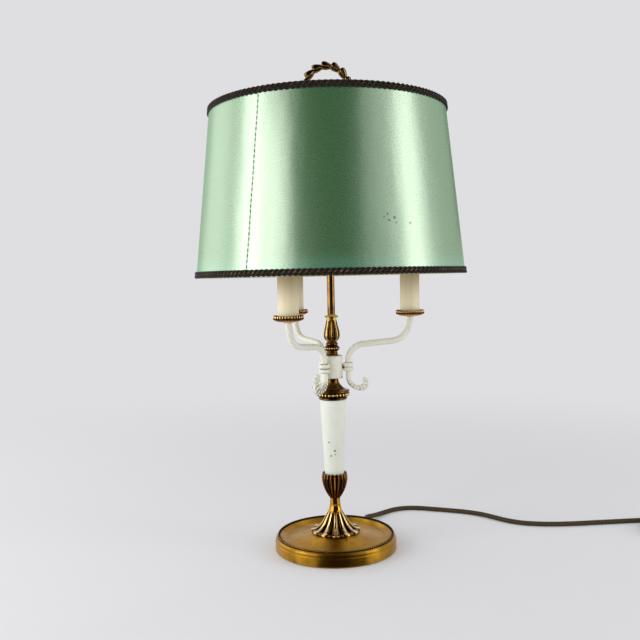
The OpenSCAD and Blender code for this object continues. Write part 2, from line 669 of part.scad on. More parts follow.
// One husk of the wreath along Z, swelling from a narrow foot and closing at its tip
husk_l = 2 * PI * ring_r / husk_n;
module husk() turned([
    [0, -0.52 * husk_l], [0.55 * ring_strand_r, -0.5 * husk_l], [0.86 * ring_strand_r, -0.3 * husk_l],
    [ring_strand_r, -0.06 * husk_l], [0.94 * ring_strand_r, 0.16 * husk_l],
    [0.78 * ring_strand_r, 0.34 * husk_l], [0.62 * ring_strand_r, 0.48 * husk_l], [0, 0.52 * husk_l]]);

module ring_handle() color(aged_brass) {
    translate([0, 0, ferrule_z + ferrule_h])
        cylinder(r1 = rod_r + 0.6, r2 = ring_strand_r - 0.2, h = plinth_h);
    translate([0, 0, ring_z]) for (i = [0:husk_n - 1]) rotate([0, -90 + 360 * i / husk_n, 0])
        translate([ring_r, 0, 0]) husk();
}

// ---- Shade, slider and key ----

module slider_collar() color(brass) difference() {
    turned([
        [rod_r + run_gap, slider_z], [slider_neck_r - 0.6, slider_z], [slider_neck_r, slider_z + 0.6],
        [slider_neck_r, flange_top_z - slider_flange_h],
        [slider_flange_r - 0.6, flange_top_z - slider_flange_h],
        [slider_flange_r, flange_top_z - slider_flange_h + 0.6], [slider_flange_r, flange_top_z],
        [slider_neck_r, flange_top_z], [slider_neck_r, slider_top_z - 0.5],
        [slider_neck_r - 0.5, slider_top_z],
        [rod_r + run_gap, slider_top_z]]);
    translate([0, 0, key_z]) rotate([0, 90, 0]) cylinder(r = key_hole_r, h = slider_neck_r + 4);
}

// Clamp screw with a pierced trefoil head
module shade_key() color(brass) translate([0, 0, key_z]) {
    translate([rod_r + 0.1, 0, 0]) rotate([0, 90, 0]) cylinder(r = key_shank_r, h = key_head_x - rod_r - 2);
    translate([slider_neck_r + 1.2, 0, 0]) rotate([0, 90, 0]) cylinder(r = 4, h = 2.4);
    difference() {
        translate([key_head_x, key_t / 2, 0]) rotate([90, 0, 0]) union() {
            cylinder(r = key_lobe_r, h = key_t);
            for (s = [-1, 1]) translate([3.4, key_lobe_r * s, 0]) cylinder(r = key_ear_r, h = key_t);
        }
        for (s = [-1, 1]) translate([key_head_x + 3.8, key_t, (key_lobe_r + 0.2) * s]) rotate([90, 0, 0])
            cylinder(r = key_ear_r - 2.6, h = 2 * key_t);
    }
}

module spider_hub() color("goldenrod") translate([0, 0, flange_top_z + face_gap]) difference() {
    cylinder(r = spider_hub_r, h = spider_hub_h);
    translate([0, 0, -1]) cylinder(r = slider_neck_r + run_gap, h = spider_hub_h + 2);
}

// Top wire ring and the spokes that rise to it from the spider's hub
spoke_z = flange_top_z + face_gap + spider_hub_h / 2;
spoke_in_r = spider_hub_r - 2;
spoke_run = top_ring_r - spoke_in_r;
spoke_rise = top_ring_z - spoke_z;
module shade_frame() color("goldenrod") {
    translate([0, 0, top_ring_z]) rotate_extrude() translate([top_ring_r, 0]) circle(r = wire_r, $fn = 24);
    for (i = [0:spoke_n - 1]) rotate([0, 0, 60 + 360 * i / spoke_n]) translate([spoke_in_r, 0, spoke_z])
        rotate([0, atan2(spoke_run, spoke_rise), 0])
            cylinder(r = spoke_r, h = norm([spoke_run, spoke_rise]));
}

module shade_bottom_ring() color("goldenrod") translate([0, 0, bottom_ring_z])
    rotate_extrude() translate([bottom_ring_r, 0]) circle(r = wire_r, $fn = 24);

// Radius of the cover's outside at a height
function cover_r(z) = shade_bottom_r + (shade_top_r - shade_bottom_r) * (z - shade_z) / shade_h;

module shade_cover() color([0.55, 0.73, 0.58]) turned([
    [shade_bottom_r - shade_t, shade_z], [shade_bottom_r, shade_z],
    [shade_top_r, shade_top_z], [shade_top_r - shade_t, shade_top_z]]);

// Domed band of braid that follows the cover from height z
module braid(z) color([0.25, 0.17, 0.10]) turned(concat(
    [[cover_r(z) + close_gap, z]],
    [for (i = [1:5]) let (t = i / 6, h = z + braid_w * t)
        [cover_r(h) + braid_t * pow(sin(180 * t), 0.35), h]],
    [[cover_r(z + braid_w) + close_gap, z + braid_w]]));

module braid_top() braid(shade_top_z - braid_w);
module braid_bottom() braid(shade_z);

// ---- Cord ----

// Point between p1 and p2 of a smooth curve through four points
function spline(p0, p1, p2, p3, t) = 0.5 * (2 * p1 + (p2 - p0) * t
    + (2 * p0 - 5 * p1 + 4 * p2 - p3) * t * t + (3 * p1 - p0 - 3 * p2 + p3) * t * t * t);
function smooth_route(pts, n) = concat(
    [for (i = [0:len(pts) - 2], k = [0:n - 1])
        spline(pts[max(i - 1, 0)], pts[i], pts[i + 1], pts[min(i + 2, len(pts) - 1)], k / n)],
    [last(pts)]);
function unit(v) = v / norm(v);

// Round tube of radius r through a list of points
module tube_along(pts, r, sides) {
    m = len(pts);
    skin([for (j = [0:m - 1])
        let (d = unit(pts[min(j + 1, m - 1)] - pts[max(j - 1, 0)]),
             u = unit(cross([0, 0, 1], d)), v = cross(d, u))
        [for (i = [0:sides - 1]) let (a = 360 * (i + 0.5) / sides) pts[j] + r * (cos(a) * u + sin(a) * v)]]);
}

module cord_run() color([0.36, 0.32, 0.20]) tube_along(smooth_route(cord_route, 2), cord_r, 10);

// Outer shape of the wound coil
module cord_coil() color([0.36, 0.32, 0.20]) translate([coil_x, coil_y, 0])
    rotate_extrude() translate([coil_mid_r - coil_wide * cord_r, coil_lift]) union() {
        translate([cord_r, 0]) square([2 * cord_r * (coil_wide - 1), 2 * cord_r * coil_high]);
        translate([0, cord_r]) square([2 * cord_r * coil_wide, 2 * cord_r * (coil_high - 1)]);
        for (i = [0, 1], j = [0, 1])
            translate([cord_r + i * 2 * cord_r * (coil_wide - 1), cord_r + j * 2 * cord_r * (coil_high - 1)])
                circle(r = cord_r, $fn = 32);
    }

// Flat band round the coil's turns
tie_in_w = 2 * cord_r * coil_wide + 0.9;
tie_in_h = coil_top_z + 0.2 - tie_t;
module coil_tie() color([0.15, 0.15, 0.15]) translate([coil_x, coil_y, 0]) rotate([0, 0, tie_az])
    translate([coil_mid_r - tie_in_w / 2 - tie_t, -tie_w / 2, 0]) difference() {
        cube([tie_in_w + 2 * tie_t, tie_w, tie_in_h + 2 * tie_t]);
        translate([tie_t, -1, tie_t]) cube([tie_in_w, tie_w + 2, tie_in_h]);
    }

module cord_tail() color([0.36, 0.32, 0.20]) {
    tube_along(tail_route, cord_r, 8);
    tube_along(lead_route, cord_r, 8);
}

// ---- Switch and plug ----

module at_switch() translate([tail_x, switch_y, 0]) rotate([0, 0, 90]) children();

// Outline of the switch housing, smaller by d all round
module switch_outline(d) {
    end_r = switch_w / 2 - d;
    square([switch_l - switch_w, 2 * end_r], center = true);
    for (s = [-1, 1]) translate([s * (switch_l - switch_w) / 2, 0]) circle(r = end_r);
}

module switch_cord_holes() for (s = [-1, 1])
    translate([s * switch_l / 2, 0, switch_part_z]) rotate([0, 90, 0])
        cylinder(r = cord_hole_r, h = 14, center = true);

module screw_places() for (s = [-1, 1]) translate([s * screw_x, s * screw_y, 0]) children();

module switch_lower() color("black") at_switch() difference() {
    union() {
        difference() {
            linear_extrude(switch_part_z) switch_outline(0);
            translate([0, 0, switch_wall]) linear_extrude(switch_part_z) switch_outline(switch_wall);
        }
        screw_places() cylinder(r = 4, h = switch_part_z);
    }
    switch_cord_holes();
    screw_places() translate([0, 0, -1]) cylinder(r = screw_r + 0.1, h = switch_part_z + 2);
    screw_places() translate([0, 0, -1]) cylinder(r = 2.9, h = 3.2);
}

module switch_upper() color("black") at_switch() difference() {
    union() {
        difference() {
            translate([0, 0, switch_part_z]) linear_extrude(switch_h - switch_part_z) switch_outline(0);
            translate([0, 0, switch_part_z - 1]) linear_extrude(switch_h - switch_wall - switch_part_z + 1)
                switch_outline(switch_wall);
        }
        screw_places() translate([0, 0, switch_part_z]) cylinder(r = 4, h = switch_h - switch_part_z);
        for (s = [-1, 1]) translate([-4, s * (rocker_w / 2 + 2) - 1.2, switch_part_z])
            cube([8, 2.4, switch_h - switch_part_z - 1]);
    }
    switch_cord_holes();
    screw_places() translate([0, 0, switch_part_z - 1]) cylinder(r = screw_r + 0.05, h = 6);
    translate([-rocker_window, -rocker_w / 2 - 0.4, switch_h - switch_wall - 1])
        cube([2 * rocker_window, rocker_w + 0.8, switch_wall + 2]);
    translate([0, 0, rocker_pivot_z]) rotate([90, 0, 0])
        cylinder(r = trunnion_r + run_gap, h = rocker_w + 8, center = true);
}

// Rocker with a shallow V top, tipped to its off side
module switch_rocker() color("firebrick") at_switch()
    translate([0, 0, rocker_pivot_z]) rotate([0, rocker_tilt, 0]) {
        rotate([90, 0, 0]) linear_extrude(rocker_w, center = true) intersection() {
            circle(r = rocker_r);
            polygon([[-12, -2], [12, -2], [12, 7.4], [9.2, 7.4], [0, 5.4], [-9.2, 7.4], [-12, 7.4]]);
        }
        rotate([90, 0, 0]) cylinder(r = trunnion_r, h = rocker_w + 6, center = true);
    }

module switch_screws() color("silver") at_switch() screw_places() {
    translate([0, 0, 0.6]) cylinder(r = 2.6, h = 1.5);
    translate([0, 0, 2]) cylinder(r = screw_r, h = 10);
}

// Flat moulded plug with a tapered neck, pins towards -Y
module plug_body() color("black") translate([tail_x, plug_y, 0]) difference() {
    union() {
        linear_extrude(plug_h) polygon([
            [-plug_w / 2, -plug_l + 4], [-plug_w / 2 + 3, -plug_l], [plug_w / 2 - 3, -plug_l],
            [plug_w / 2, -plug_l + 4], [plug_w / 2, -14], [6, 0], [-6, 0], [-plug_w / 2, -14]]);
        translate([0, 0, plug_h / 2]) rotate([-90, 0, 0]) cylinder(r1 = 6, r2 = cord_r + 0.9, h = 20);
    }
    for (s = [-1, 1]) translate([s * pin_gap / 2, -plug_l - 1, plug_h / 2]) rotate([-90, 0, 0])
        cylinder(r = shank_r, h = shank_l + 1);
}

// Pins with a narrower shank where the plug is moulded round them
module plug_pins() color("silver") for (s = [-1, 1])
    translate([tail_x + s * pin_gap / 2, plug_y - plug_l - pin_l, plug_h / 2]) rotate([-90, 0, 0]) {
        cylinder(r = pin_r, h = pin_l);
        translate([0, 0, pin_l - 1]) cylinder(r = shank_r, h = shank_l + 1);
    }

base_felt();
base_weight();
base_dish();
base_beads();
tube_nuts();
tube_washers();
cord_grip();
foot_calyx();
stem_neck();
tulip_cup();
column();
beaded_collar();
hub();
arm_right();
arm_back_left();
arm_front_left();
arm_nipples();
drip_pan_right();
drip_pan_back_left();
drip_pan_front_left();
candle_sleeve_right();
candle_sleeve_back_left();
candle_sleeve_front_left();
lamp_holder_right();
lamp_holder_back_left();
lamp_holder_front_left();
bulb_cap_right();
bulb_cap_back_left();
bulb_cap_front_left();
bulb_glass_right();
bulb_glass_back_left();
bulb_glass_front_left();
bead_knop();
leaf_baluster();
rod();
tie_tube();
inner_lead();
slider_collar();
shade_key();
spider_hub();
shade_frame();
shade_bottom_ring();
shade_cover();
braid_top();
braid_bottom();
handle_ferrule();
ring_handle();
cord_run();
cord_coil();
coil_tie();
cord_tail();
switch_lower();
switch_upper();
switch_rocker();
switch_screws();
plug_body();
plug_pins();
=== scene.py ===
"""Studio scene of a three-light bouillotte table lamp: its surfaces and finishes round the fixed frame.

Sizes in the classes are millimetres. Meshes are made in metres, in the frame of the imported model:
+Z up the rod, +X along the right arm, the origin under the centre of the base.
"""
import logging
import math
from dataclasses import dataclass
from enum import Enum
from typing import Iterable, NamedTuple, Sequence

import bmesh
import bpy
import numpy as np
from mathutils import Matrix


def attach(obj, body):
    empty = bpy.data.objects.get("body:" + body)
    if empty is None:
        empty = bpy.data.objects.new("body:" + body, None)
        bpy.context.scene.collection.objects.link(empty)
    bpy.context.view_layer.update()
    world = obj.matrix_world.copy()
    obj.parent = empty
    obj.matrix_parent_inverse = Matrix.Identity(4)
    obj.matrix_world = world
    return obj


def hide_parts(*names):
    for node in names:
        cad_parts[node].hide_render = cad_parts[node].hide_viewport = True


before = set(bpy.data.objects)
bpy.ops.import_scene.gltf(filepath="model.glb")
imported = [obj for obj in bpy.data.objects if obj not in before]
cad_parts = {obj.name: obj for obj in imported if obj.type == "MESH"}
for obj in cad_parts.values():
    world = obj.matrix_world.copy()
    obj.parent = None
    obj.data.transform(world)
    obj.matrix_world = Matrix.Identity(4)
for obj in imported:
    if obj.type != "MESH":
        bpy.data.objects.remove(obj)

LOG = logging.getLogger("bouillotte_lamp")
MM = 0.001
TAU = 2 * math.pi
MERGE_M = 1e-6  # points nearer than this, in metres, are one
SHORTEST = 1e-9  # keeps a side without length from dividing by nought
SIDE_SHARE = 0.45  # the most of a side that one rounded corner takes
UV_NAME = "Surface"
TONE_NAME = "tone"
Array = np.ndarray
Colour = tuple[float, float, float]
Spot = tuple[float, float, float, float]  # x, y, z and radius, in millimetres
Span = tuple[float, float]
Socket = bpy.types.NodeSocket


class Slot(Enum):
    """Material slots of the model."""

    FELT = "felt"
    IRON = "iron"
    SATIN_BRASS = "satin_brass"
    AGED_BRASS = "aged_brass"
    CREAM = "cream"
    CARD = "card"
    HOLDER = "holder"
    CAP_METAL = "cap_metal"
    GLASS = "glass"
    STEEL = "steel"
    WIRE = "wire"
    SHADE_SATIN = "shade_satin"
    BRAID = "braid"
    CORD = "cord"
    MOULDING = "moulding"
    LEAD = "lead"


class Body(Enum):
    """Bodies that new pieces ride on. The slider, the key and the rocker keep the model's own shapes."""

    STAND = "stand"
    SHADE = "shade"


# ---- Surfaces ----


@dataclass
class Skin:
    """Quads that are put together for one piece.

    points is (n, 3) in millimetres, quads (m, 4), uv (m, 4, 2), and tone (n,) says how proud each
    point stands: 0 in a recess, 1 on a ridge. Finishes read tone as patina, soiling and wear, and as
    painted shade in recesses and painted highlights on ridges.
    """

    points: Array
    quads: Array
    uv: Array
    tone: Array

    @staticmethod
    def joined(skins: Sequence["Skin"]) -> "Skin":
        """One skin that holds several, with their indices shifted in turn.

        Args:
            skins: The skins, in order.

        Returns:
            The skin of all of them.
        """
        starts = np.cumsum([0] + [len(s.points) for s in skins[:-1]])
        return Skin(
            np.concatenate([s.points for s in skins]),
            np.concatenate([s.quads + first for s, first in zip(skins, starts)]),
            np.concatenate([s.uv for s in skins]),
            np.concatenate([s.tone for s in skins]),
        )

    def copies(self, turns: Array, shifts: Array) -> "Skin":
        """Copies of the skin, each turned by a matrix and then shifted.

        Args:
            turns: (k, 3, 3) matrices.
            shifts: (k, 3) millimetres.

        Returns:
            One skin with the k copies, where point p of copy i lies at turn_i p + shift_i.
        """
        k, n = len(turns), len(self.points)
        points = np.einsum("kij,nj->kni", turns, self.points) + shifts[:, None]
        quads = self.quads[None] + (np.arange(k) * n)[:, None, None]
        return Skin(
            points.reshape(-1, 3), quads.reshape(-1, 4), np.tile(self.uv, (k, 1, 1)), np.tile(self.tone, k)
        )

    def moved(self, shift: Sequence[float]) -> "Skin":
        """The skin shifted by a vector."""
        return Skin(self.points + np.asarray(shift), self.quads, self.uv, self.tone)

    def spun(self, degrees: float) -> "Skin":
        """The skin turned round Z."""
        return self.copies(z_turns(np.radians([degrees])), np.zeros((1, 3)))


def z_turns(angles: Array) -> Array:
    """Matrices that turn round Z by each angle: rows (cos, -sin, 0), (sin, cos, 0), (0, 0, 1).

    Args:
        angles: (k,) radians.

    Returns:
        (k, 3, 3) matrices.
    """
    turns = np.zeros((len(angles), 3, 3))
    turns[:, 0, 0] = turns[:, 1, 1] = np.cos(angles)
    turns[:, 1, 0] = np.sin(angles)
    turns[:, 0, 1] = -turns[:, 1, 0]
    turns[:, 2, 2] = 1
    return turns


def round_angles(count: int) -> Array:
    """Angles of count even steps round a circle, from 0."""
    return np.arange(count) * TAU / count


def polar(radius: Array | float, angle: Array, height: Array | float) -> Array:
    """Points (r cos a, r sin a, z), with x, y and z along a new last axis."""
    return np.stack(np.broadcast_arrays(radius * np.cos(angle), radius * np.sin(angle), height), -1)


def grid(points: Array, ring_v: bool = False, tone: Array | float = 1.0) -> Skin:
    """Joins a (rows, columns, 3) array of points into quads, with each row closed on itself.

    Each quad runs from column j to j + 1 and from row i to i + 1, so it faces the way of
    (step along a row) x (step along a column).

    Args:
        points: The surface's points.
        ring_v: Whether each column closes on itself too.
        tone: How proud each point stands.

    Returns:
        The skin, whose UV runs from 0 to 1 along the rows and along the columns.
    """
    rows, cols = points.shape[:2]
    steps = rows if ring_v else rows - 1
    i, j = (a.ravel() for a in np.meshgrid(np.arange(steps), np.arange(cols), indexing="ij"))
    up, right = (i + 1) % rows, (j + 1) % cols
    quads = np.stack([i * cols + j, i * cols + right, up * cols + right, up * cols + j], axis=1)
    across = np.stack([j, j + 1, j + 1, j], 1) / cols
    along = np.stack([i, i, i + 1, i + 1], 1) / steps
    depth = np.broadcast_to(np.asarray(tone, float), points.shape[:2])
    return Skin(points.reshape(-1, 3), quads, np.stack([across, along], axis=2), depth.ravel().copy())


def around(radius: Array, height: Array, tone: Array | float = 1.0, ring_v: bool = False) -> Skin:
    """A skin round Z: the point at column angle a is (r cos a, r sin a, z), for arrays r and z."""
    radius, height = np.broadcast_arrays(radius, height)
    return grid(polar(radius, round_angles(radius.shape[1]), height), ring_v=ring_v, tone=tone)


def arc(at: float, z: float, radius: float, start: float, end: float, count: int) -> Array:
    """Profile points round (at, z), from a start to an end angle in degrees."""
    b = np.radians(np.linspace(start, end, count))
    return np.stack([at + radius * np.cos(b), z + radius * np.sin(b)], 1)


def softened(
    corners: Sequence[Sequence[float]], reach: float, steps: int = 4, closed: bool = False,
) -> Array:
    """A profile whose corners are rounded.

    Each corner p becomes the curve (1-t)^2 a + 2t(1-t) p + t^2 b, where a and b lie on its two sides,
    reach away from it or SIDE_SHARE of the side if that is less. An open profile keeps its two ends.

    Args:
        corners: The profile before rounding.
        reach: How far a curve starts from its corner.
        steps: Points in each curve.
        closed: Whether the profile closes on itself.

    Returns:
        The points of the rounded profile.
    """
    p = np.asarray(corners, float)
    ends = []
    for step in (1, -1):
        side = np.roll(p, step, 0) - p
        length = np.maximum(np.linalg.norm(side, axis=1), SHORTEST)
        ends.append(p + side * np.minimum(reach / length, SIDE_SHARE)[:, None])
    a, b = ends
    t = np.linspace(0, 1, steps)[None, :, None]
    arcs = (1 - t) ** 2 * a[:, None] + 2 * t * (1 - t) * p[:, None] + t**2 * b[:, None]
    if closed:
        return arcs.reshape(-1, p.shape[1])
    return np.concatenate([p[:1], arcs[1:-1].reshape(-1, p.shape[1]), p[-1:]])


def spline(points: Sequence[Sequence[float]], steps: int) -> Array:
    """Smooth curve through points, with steps intervals between two.

    It is the uniform cubic whose slope at each point is half the chord of its neighbours.

    Args:
        points: Points that the curve passes.
        steps: Intervals between two of them.

    Returns:
        The points of the curve.
    """
    p = np.asarray(points, float)
    q = np.concatenate([p[:1], p, p[-1:]])
    a, b, c, d = (x[:, None] for x in (q[:-3], q[1:-2], q[2:-1], q[3:]))
    t = (np.arange(steps) / steps)[None, :, None]
    square, cube = 2 * a - 5 * b + 4 * c - d, 3 * b - a - 3 * c + d
    curve = 0.5 * (2 * b + (c - a) * t + square * t**2 + cube * t**3)
    return np.concatenate([curve.reshape(-1, p.shape[1]), p[-1:]])


def turned(profile: Array, sides: int, tone: float = 1.0, ring_v: bool = False) -> Skin:
    """Solid of revolution of a profile of (radius, height), which runs up its outer side."""
    radius, height = (np.repeat(profile[:, k:k + 1], sides, 1) for k in (0, 1))
    return around(radius, height, tone, ring_v)


def ball(radius: float, sides: int, rows: int) -> Skin:
    """Sphere: radius times (sin b, -cos b) for b from pole to pole, turned round Z."""
    b = np.linspace(0, math.pi, rows + 1)
    return turned(np.stack([radius * np.sin(b), -radius * np.cos(b)], 1), sides)


def bead_row(
    count: int, at: float, z: float, radius: float, sides: int, rows: int,
    lean: float = 20.0, tall: float = 1.0, fall: float = 1.5,
) -> Skin:
    """Beads spaced evenly on a circle round Z.

    A bead's tone is 1.4 - fall (1 - n.d), held from 0 to 1, for its normal n and the direction d of its
    painted highlight: each bead is painted bright facing d and painted shade away from it.

    Args:
        count: Number of beads.
        at: Radius of the circle.
        z: Height of their middles.
        radius: Radius of a bead.
        sides: Faces round a bead.
        rows: Faces from pole to pole.
        lean: How far d leans up from the outward direction, in degrees.
        tall: Height of a bead over its width.
        fall: How fast the painted highlight fades into painted shade away from d.

    Returns:
        The skin of the row.
    """
    angles = round_angles(count)
    bead = ball(radius, sides, rows)
    # Painted highlight: the direction that each bead is painted brightest towards.
    highlight_way = np.array([math.cos(math.radians(lean)), 0, math.sin(math.radians(lean))])
    bead.tone[:] = np.clip(1.4 - fall * (1 - (bead.points / radius) @ highlight_way), 0, 1)
    bead.points[:, 2] *= tall
    return bead.copies(z_turns(angles), polar(at, angles, z))


def hoop(at: float, z: float, radius: float, sides: int = 256, round_steps: int = 10) -> Skin:
    """Ring of round wire about Z."""
    b = round_angles(round_steps)
    return turned(np.stack([at + radius * np.cos(b), z + radius * np.sin(b)], 1), sides, ring_v=True)


def carried(
    path: Array, across: Array, along: Array, u: Array, v: Array, tone: Array | float = 1.0,
) -> Skin:
    """A section carried along a path and closed at both ends.

    Args:
        path: (rows, 3) centre of each section.
        across: (rows, 3) unit vectors that u is measured along.
        along: (rows, 3) unit vectors that v is measured along.
        u: (rows, columns) or (columns,) section coordinates.
        v: The same for the second direction.
        tone: How proud each point stands.

    Returns:
        The skin of path + u across + v along, with a pole in the middle of each end.
    """
    rows = len(path)
    u, v = (np.broadcast_to(a, (rows, a.shape[-1])) for a in (u, v))
    body = path[:, None] + u[..., None] * across[:, None] + v[..., None] * along[:, None]
    foot, head = (np.repeat(body[k].mean(0)[None, None], body.shape[1], 1) for k in (0, -1))
    depth = np.broadcast_to(np.asarray(tone, float), body.shape[:2])
    depth = np.concatenate([depth[:1], depth, depth[-1:]])
    return grid(np.concatenate([foot, body, head]), tone=depth)


def tube(path: Array, radius: float, sides: int = 12) -> Skin:
    """Round tube along a path that is never upright.

    At each point the section's first axis is level, Z x direction, and the second is direction x first.

    Args:
        path: (rows, 3) centreline.
        radius: Radius of the tube.
        sides: Faces round it.

    Returns:
        The skin, closed at both ends.
    """
    way = np.concatenate([path[1:], path[-1:]]) - np.concatenate([path[:1], path[:-1]])
    way /= np.linalg.norm(way, axis=1)[:, None]
    level = np.cross([0, 0, 1], way)
    level /= np.linalg.norm(level, axis=1)[:, None]
    a = round_angles(sides)
    return carried(path, level, np.cross(way, level), radius * np.cos(a), radius * np.sin(a))


def smooth_step(x: Array) -> Array:
    """0 below 0, 1 above 1, and 3x^2 - 2x^3 between."""
    x = np.clip(x, 0, 1)
    return x * x * (3 - 2 * x)


def from_ridge(angles: Array, count: int, phase: float = 0.0) -> Array:
    """Distance from the nearest of count ridges round a circle, 0 on a ridge and 1 midway between."""
    return np.abs((angles * count / TAU + phase + 0.5) % 1 - 0.5) * 2


# ---- Finishes ----


def paint(red: int, green: int, blue: int) -> Colour:
    """A colour named by its screen values from 0 to 255, as linear light.

    Args:
        red: Red.
        green: Green.
        blue: Blue.

    Returns:
        The colour that a shader takes.
    """
    c = np.array([red, green, blue]) / 255
    linear = np.where(c <= 0.04045, c / 12.92, ((c + 0.055) / 1.055) ** 2.4)
    return tuple(float(x) for x in linear)


class Shading:
    """Node tree of one material, with short calls for the nodes that the finishes use."""

    def __init__(self, name: str) -> None:
        """Starts a material that holds one surface shader.

        Args:
            name: The material's name.
        """
        self.material = bpy.data.materials.new(name)
        self.material.use_nodes = True
        self.tree = self.material.node_tree
        self.tree.nodes.clear()
        self.surface = self.node("ShaderNodeBsdfPrincipled")
        self.node("ShaderNodeOutputMaterial", {"Surface": self.surface.outputs[0]})

    def node(self, kind: str, inputs: dict | None = None, **settings: object) -> bpy.types.Node:
        """Adds a node, sets its properties and links or sets its inputs.

        Args:
            kind: Blender's name of the node's type.
            inputs: Value or socket for each input.
            settings: The node's properties.

        Returns:
            The node.
        """
        made = self.tree.nodes.new(kind)
        for key, value in settings.items():
            setattr(made, key, value)
        for key, value in (inputs or {}).items():
            self.feed(made.inputs[key], value)
        return made

    def feed(self, socket: Socket, value: object) -> None:
        """Links a socket if the value is one, and sets it otherwise.

        Args:
            socket: The input.
            value: A socket, a number, a vector or a colour.
        """
        if isinstance(value, Socket):
            self.tree.links.new(value, socket)
        elif socket.type == "RGBA":
            socket.default_value = (*value, 1.0)
        else:
            socket.default_value = value

    def set(self, **inputs: object) -> None:
        """Sets the surface shader's own inputs, named with _ for a space."""
        for key, value in inputs.items():
            self.feed(self.surface.inputs[key.replace("_", " ")], value)

    def place(self) -> Socket:
        """The object's own coordinates, in metres."""
        return self.node("ShaderNodeTexCoord").outputs["Object"]

    def uv(self, across: float, along: float) -> Socket:
        """The piece's UV, repeated across and along."""
        source = self.node("ShaderNodeUVMap", uv_map=UV_NAME).outputs[0]
        return self.stretched(source, (across, along, 1))

    def tangent(self) -> Socket:
        """Direction of the piece's UV, which brushed metal and satin shine across."""
        return self.node("ShaderNodeTangent", direction_type="UV_MAP", uv_map=UV_NAME).outputs[0]

    def tone(self) -> Socket:
        """The piece's tone: 0 in a recess and 1 on a ridge."""
        return self.node("ShaderNodeAttribute", attribute_name=TONE_NAME).outputs["Fac"]

    def noise(self, where: Socket, scale: float, detail: float = 3.0, rough: float = 0.55) -> Socket:
        """Cloudy noise from 0 to 1."""
        inputs = {"Vector": where, "Scale": scale, "Detail": detail, "Roughness": rough}
        return self.node("ShaderNodeTexNoise", inputs).outputs[0]

    def stretched(self, where: Socket, scale: tuple[float, float, float]) -> Socket:
        """Coordinates scaled by axis."""
        return self.node("ShaderNodeMapping", {"Vector": where, "Scale": scale}).outputs[0]

    def ranged(
        self, value: Socket, low: float, high: float, to_low: float = 0.0, to_high: float = 1.0,
    ) -> Socket:
        """A value from low to high, mapped smoothly to another range and held there."""
        inputs = {"Value": value, "From Min": low, "From Max": high, "To Min": to_low, "To Max": to_high}
        return self.node("ShaderNodeMapRange", inputs, interpolation_type="SMOOTHSTEP").outputs[0]

    def maths(self, operation: str, a: object, b: object = 0.0) -> Socket:
        """Sum, product or other operation on two numbers."""
        return self.node("ShaderNodeMath", {0: a, 1: b}, operation=operation).outputs[0]

    def mix(self, share: object, a: object, b: object) -> Socket:
        """Colour a where share is 0 and b where it is 1."""
        return self.node("ShaderNodeMix", {0: share, 6: a, 7: b}, data_type="RGBA").outputs[2]

    def axis(self, where: Socket, name: str) -> Socket:
        """One coordinate of a vector."""
        return self.node("ShaderNodeSeparateXYZ", {0: where}).outputs[name]

    def vector(self, operation: str, inputs: dict) -> bpy.types.Node:
        """Sum, distance or other operation on vectors."""
        return self.node("ShaderNodeVectorMath", inputs, operation=operation)

    def near(self, where: Socket, spot: Spot) -> Socket:
        """1 in the inner 0.55 of a spot's radius, falling to 0 at its edge.

        Args:
            where: Coordinates, in metres.
            spot: Its middle and radius, in millimetres.

        Returns:
            The share of the spot.
        """
        *point, radius = spot
        middle = tuple(float(x) * MM for x in point)
        gap = self.vector("DISTANCE", {0: where, 1: middle}).outputs["Value"]
        return self.ranged(gap, radius * MM * 0.55, radius * MM, 1.0, 0.0)

    def turned_lines(self, where: Socket) -> Socket:
        """Coordinates (distance from Z, height, 0), the same all the way round, for marks of a lathe.

        Args:
            where: Coordinates, in metres.

        Returns:
            The new coordinates.
        """
        x, y, z = (self.axis(where, name) for name in "XYZ")
        square = self.maths("ADD", self.maths("MULTIPLY", x, x), self.maths("MULTIPLY", y, y))
        radius = self.maths("SQRT", square)
        return self.node("ShaderNodeCombineXYZ", {0: radius, 1: z}).outputs[0]

    def ragged(self, where: Socket, scale: float, reach: float) -> Socket:
        """Coordinates shifted by noise, by up to reach millimetres, so that a spot's edge is ragged.

        Args:
            where: Coordinates, in metres.
            scale: Scale of the noise.
            reach: The furthest shift.

        Returns:
            The shifted coordinates.
        """
        inputs = {"Vector": where, "Scale": scale, "Detail": 2.0}
        cloud = self.node("ShaderNodeTexNoise", inputs).outputs["Color"]
        centred = self.vector("SUBTRACT", {0: cloud, 1: (0.5, 0.5, 0.5)}).outputs[0]
        shift = self.vector("SCALE", {0: centred, "Scale": reach * MM}).outputs[0]
        return self.vector("ADD", {0: where, 1: shift}).outputs[0]

    def bump(self, height: Socket, depth: float, under: Socket | None = None) -> Socket:
        """Normal of a surface raised by height times depth in millimetres.

        Args:
            height: The relief, from 0 to 1.
            depth: Millimetres that 1 stands for.
            under: Normal that it is added to.

        Returns:
            The normal.
        """
        inputs = {"Height": height, "Distance": depth * MM, "Strength": 1.0}
        if under is not None:
            inputs["Normal"] = under
        return self.node("ShaderNodeBump", inputs).outputs[0]


class Finish:
    """Base of the finishes: makes its material once and keeps it."""

    name: str
    slot: Slot
    made: dict["Finish", bpy.types.Material] = {}

    def material(self) -> bpy.types.Material:
        """The finish's material, made at its first use.

        Returns:
            The material.
        """
        if self not in Finish.made:
            Finish.made[self] = self.build().material
        return Finish.made[self]

    def build(self) -> Shading:
        """The finish's nodes."""
        raise NotImplementedError


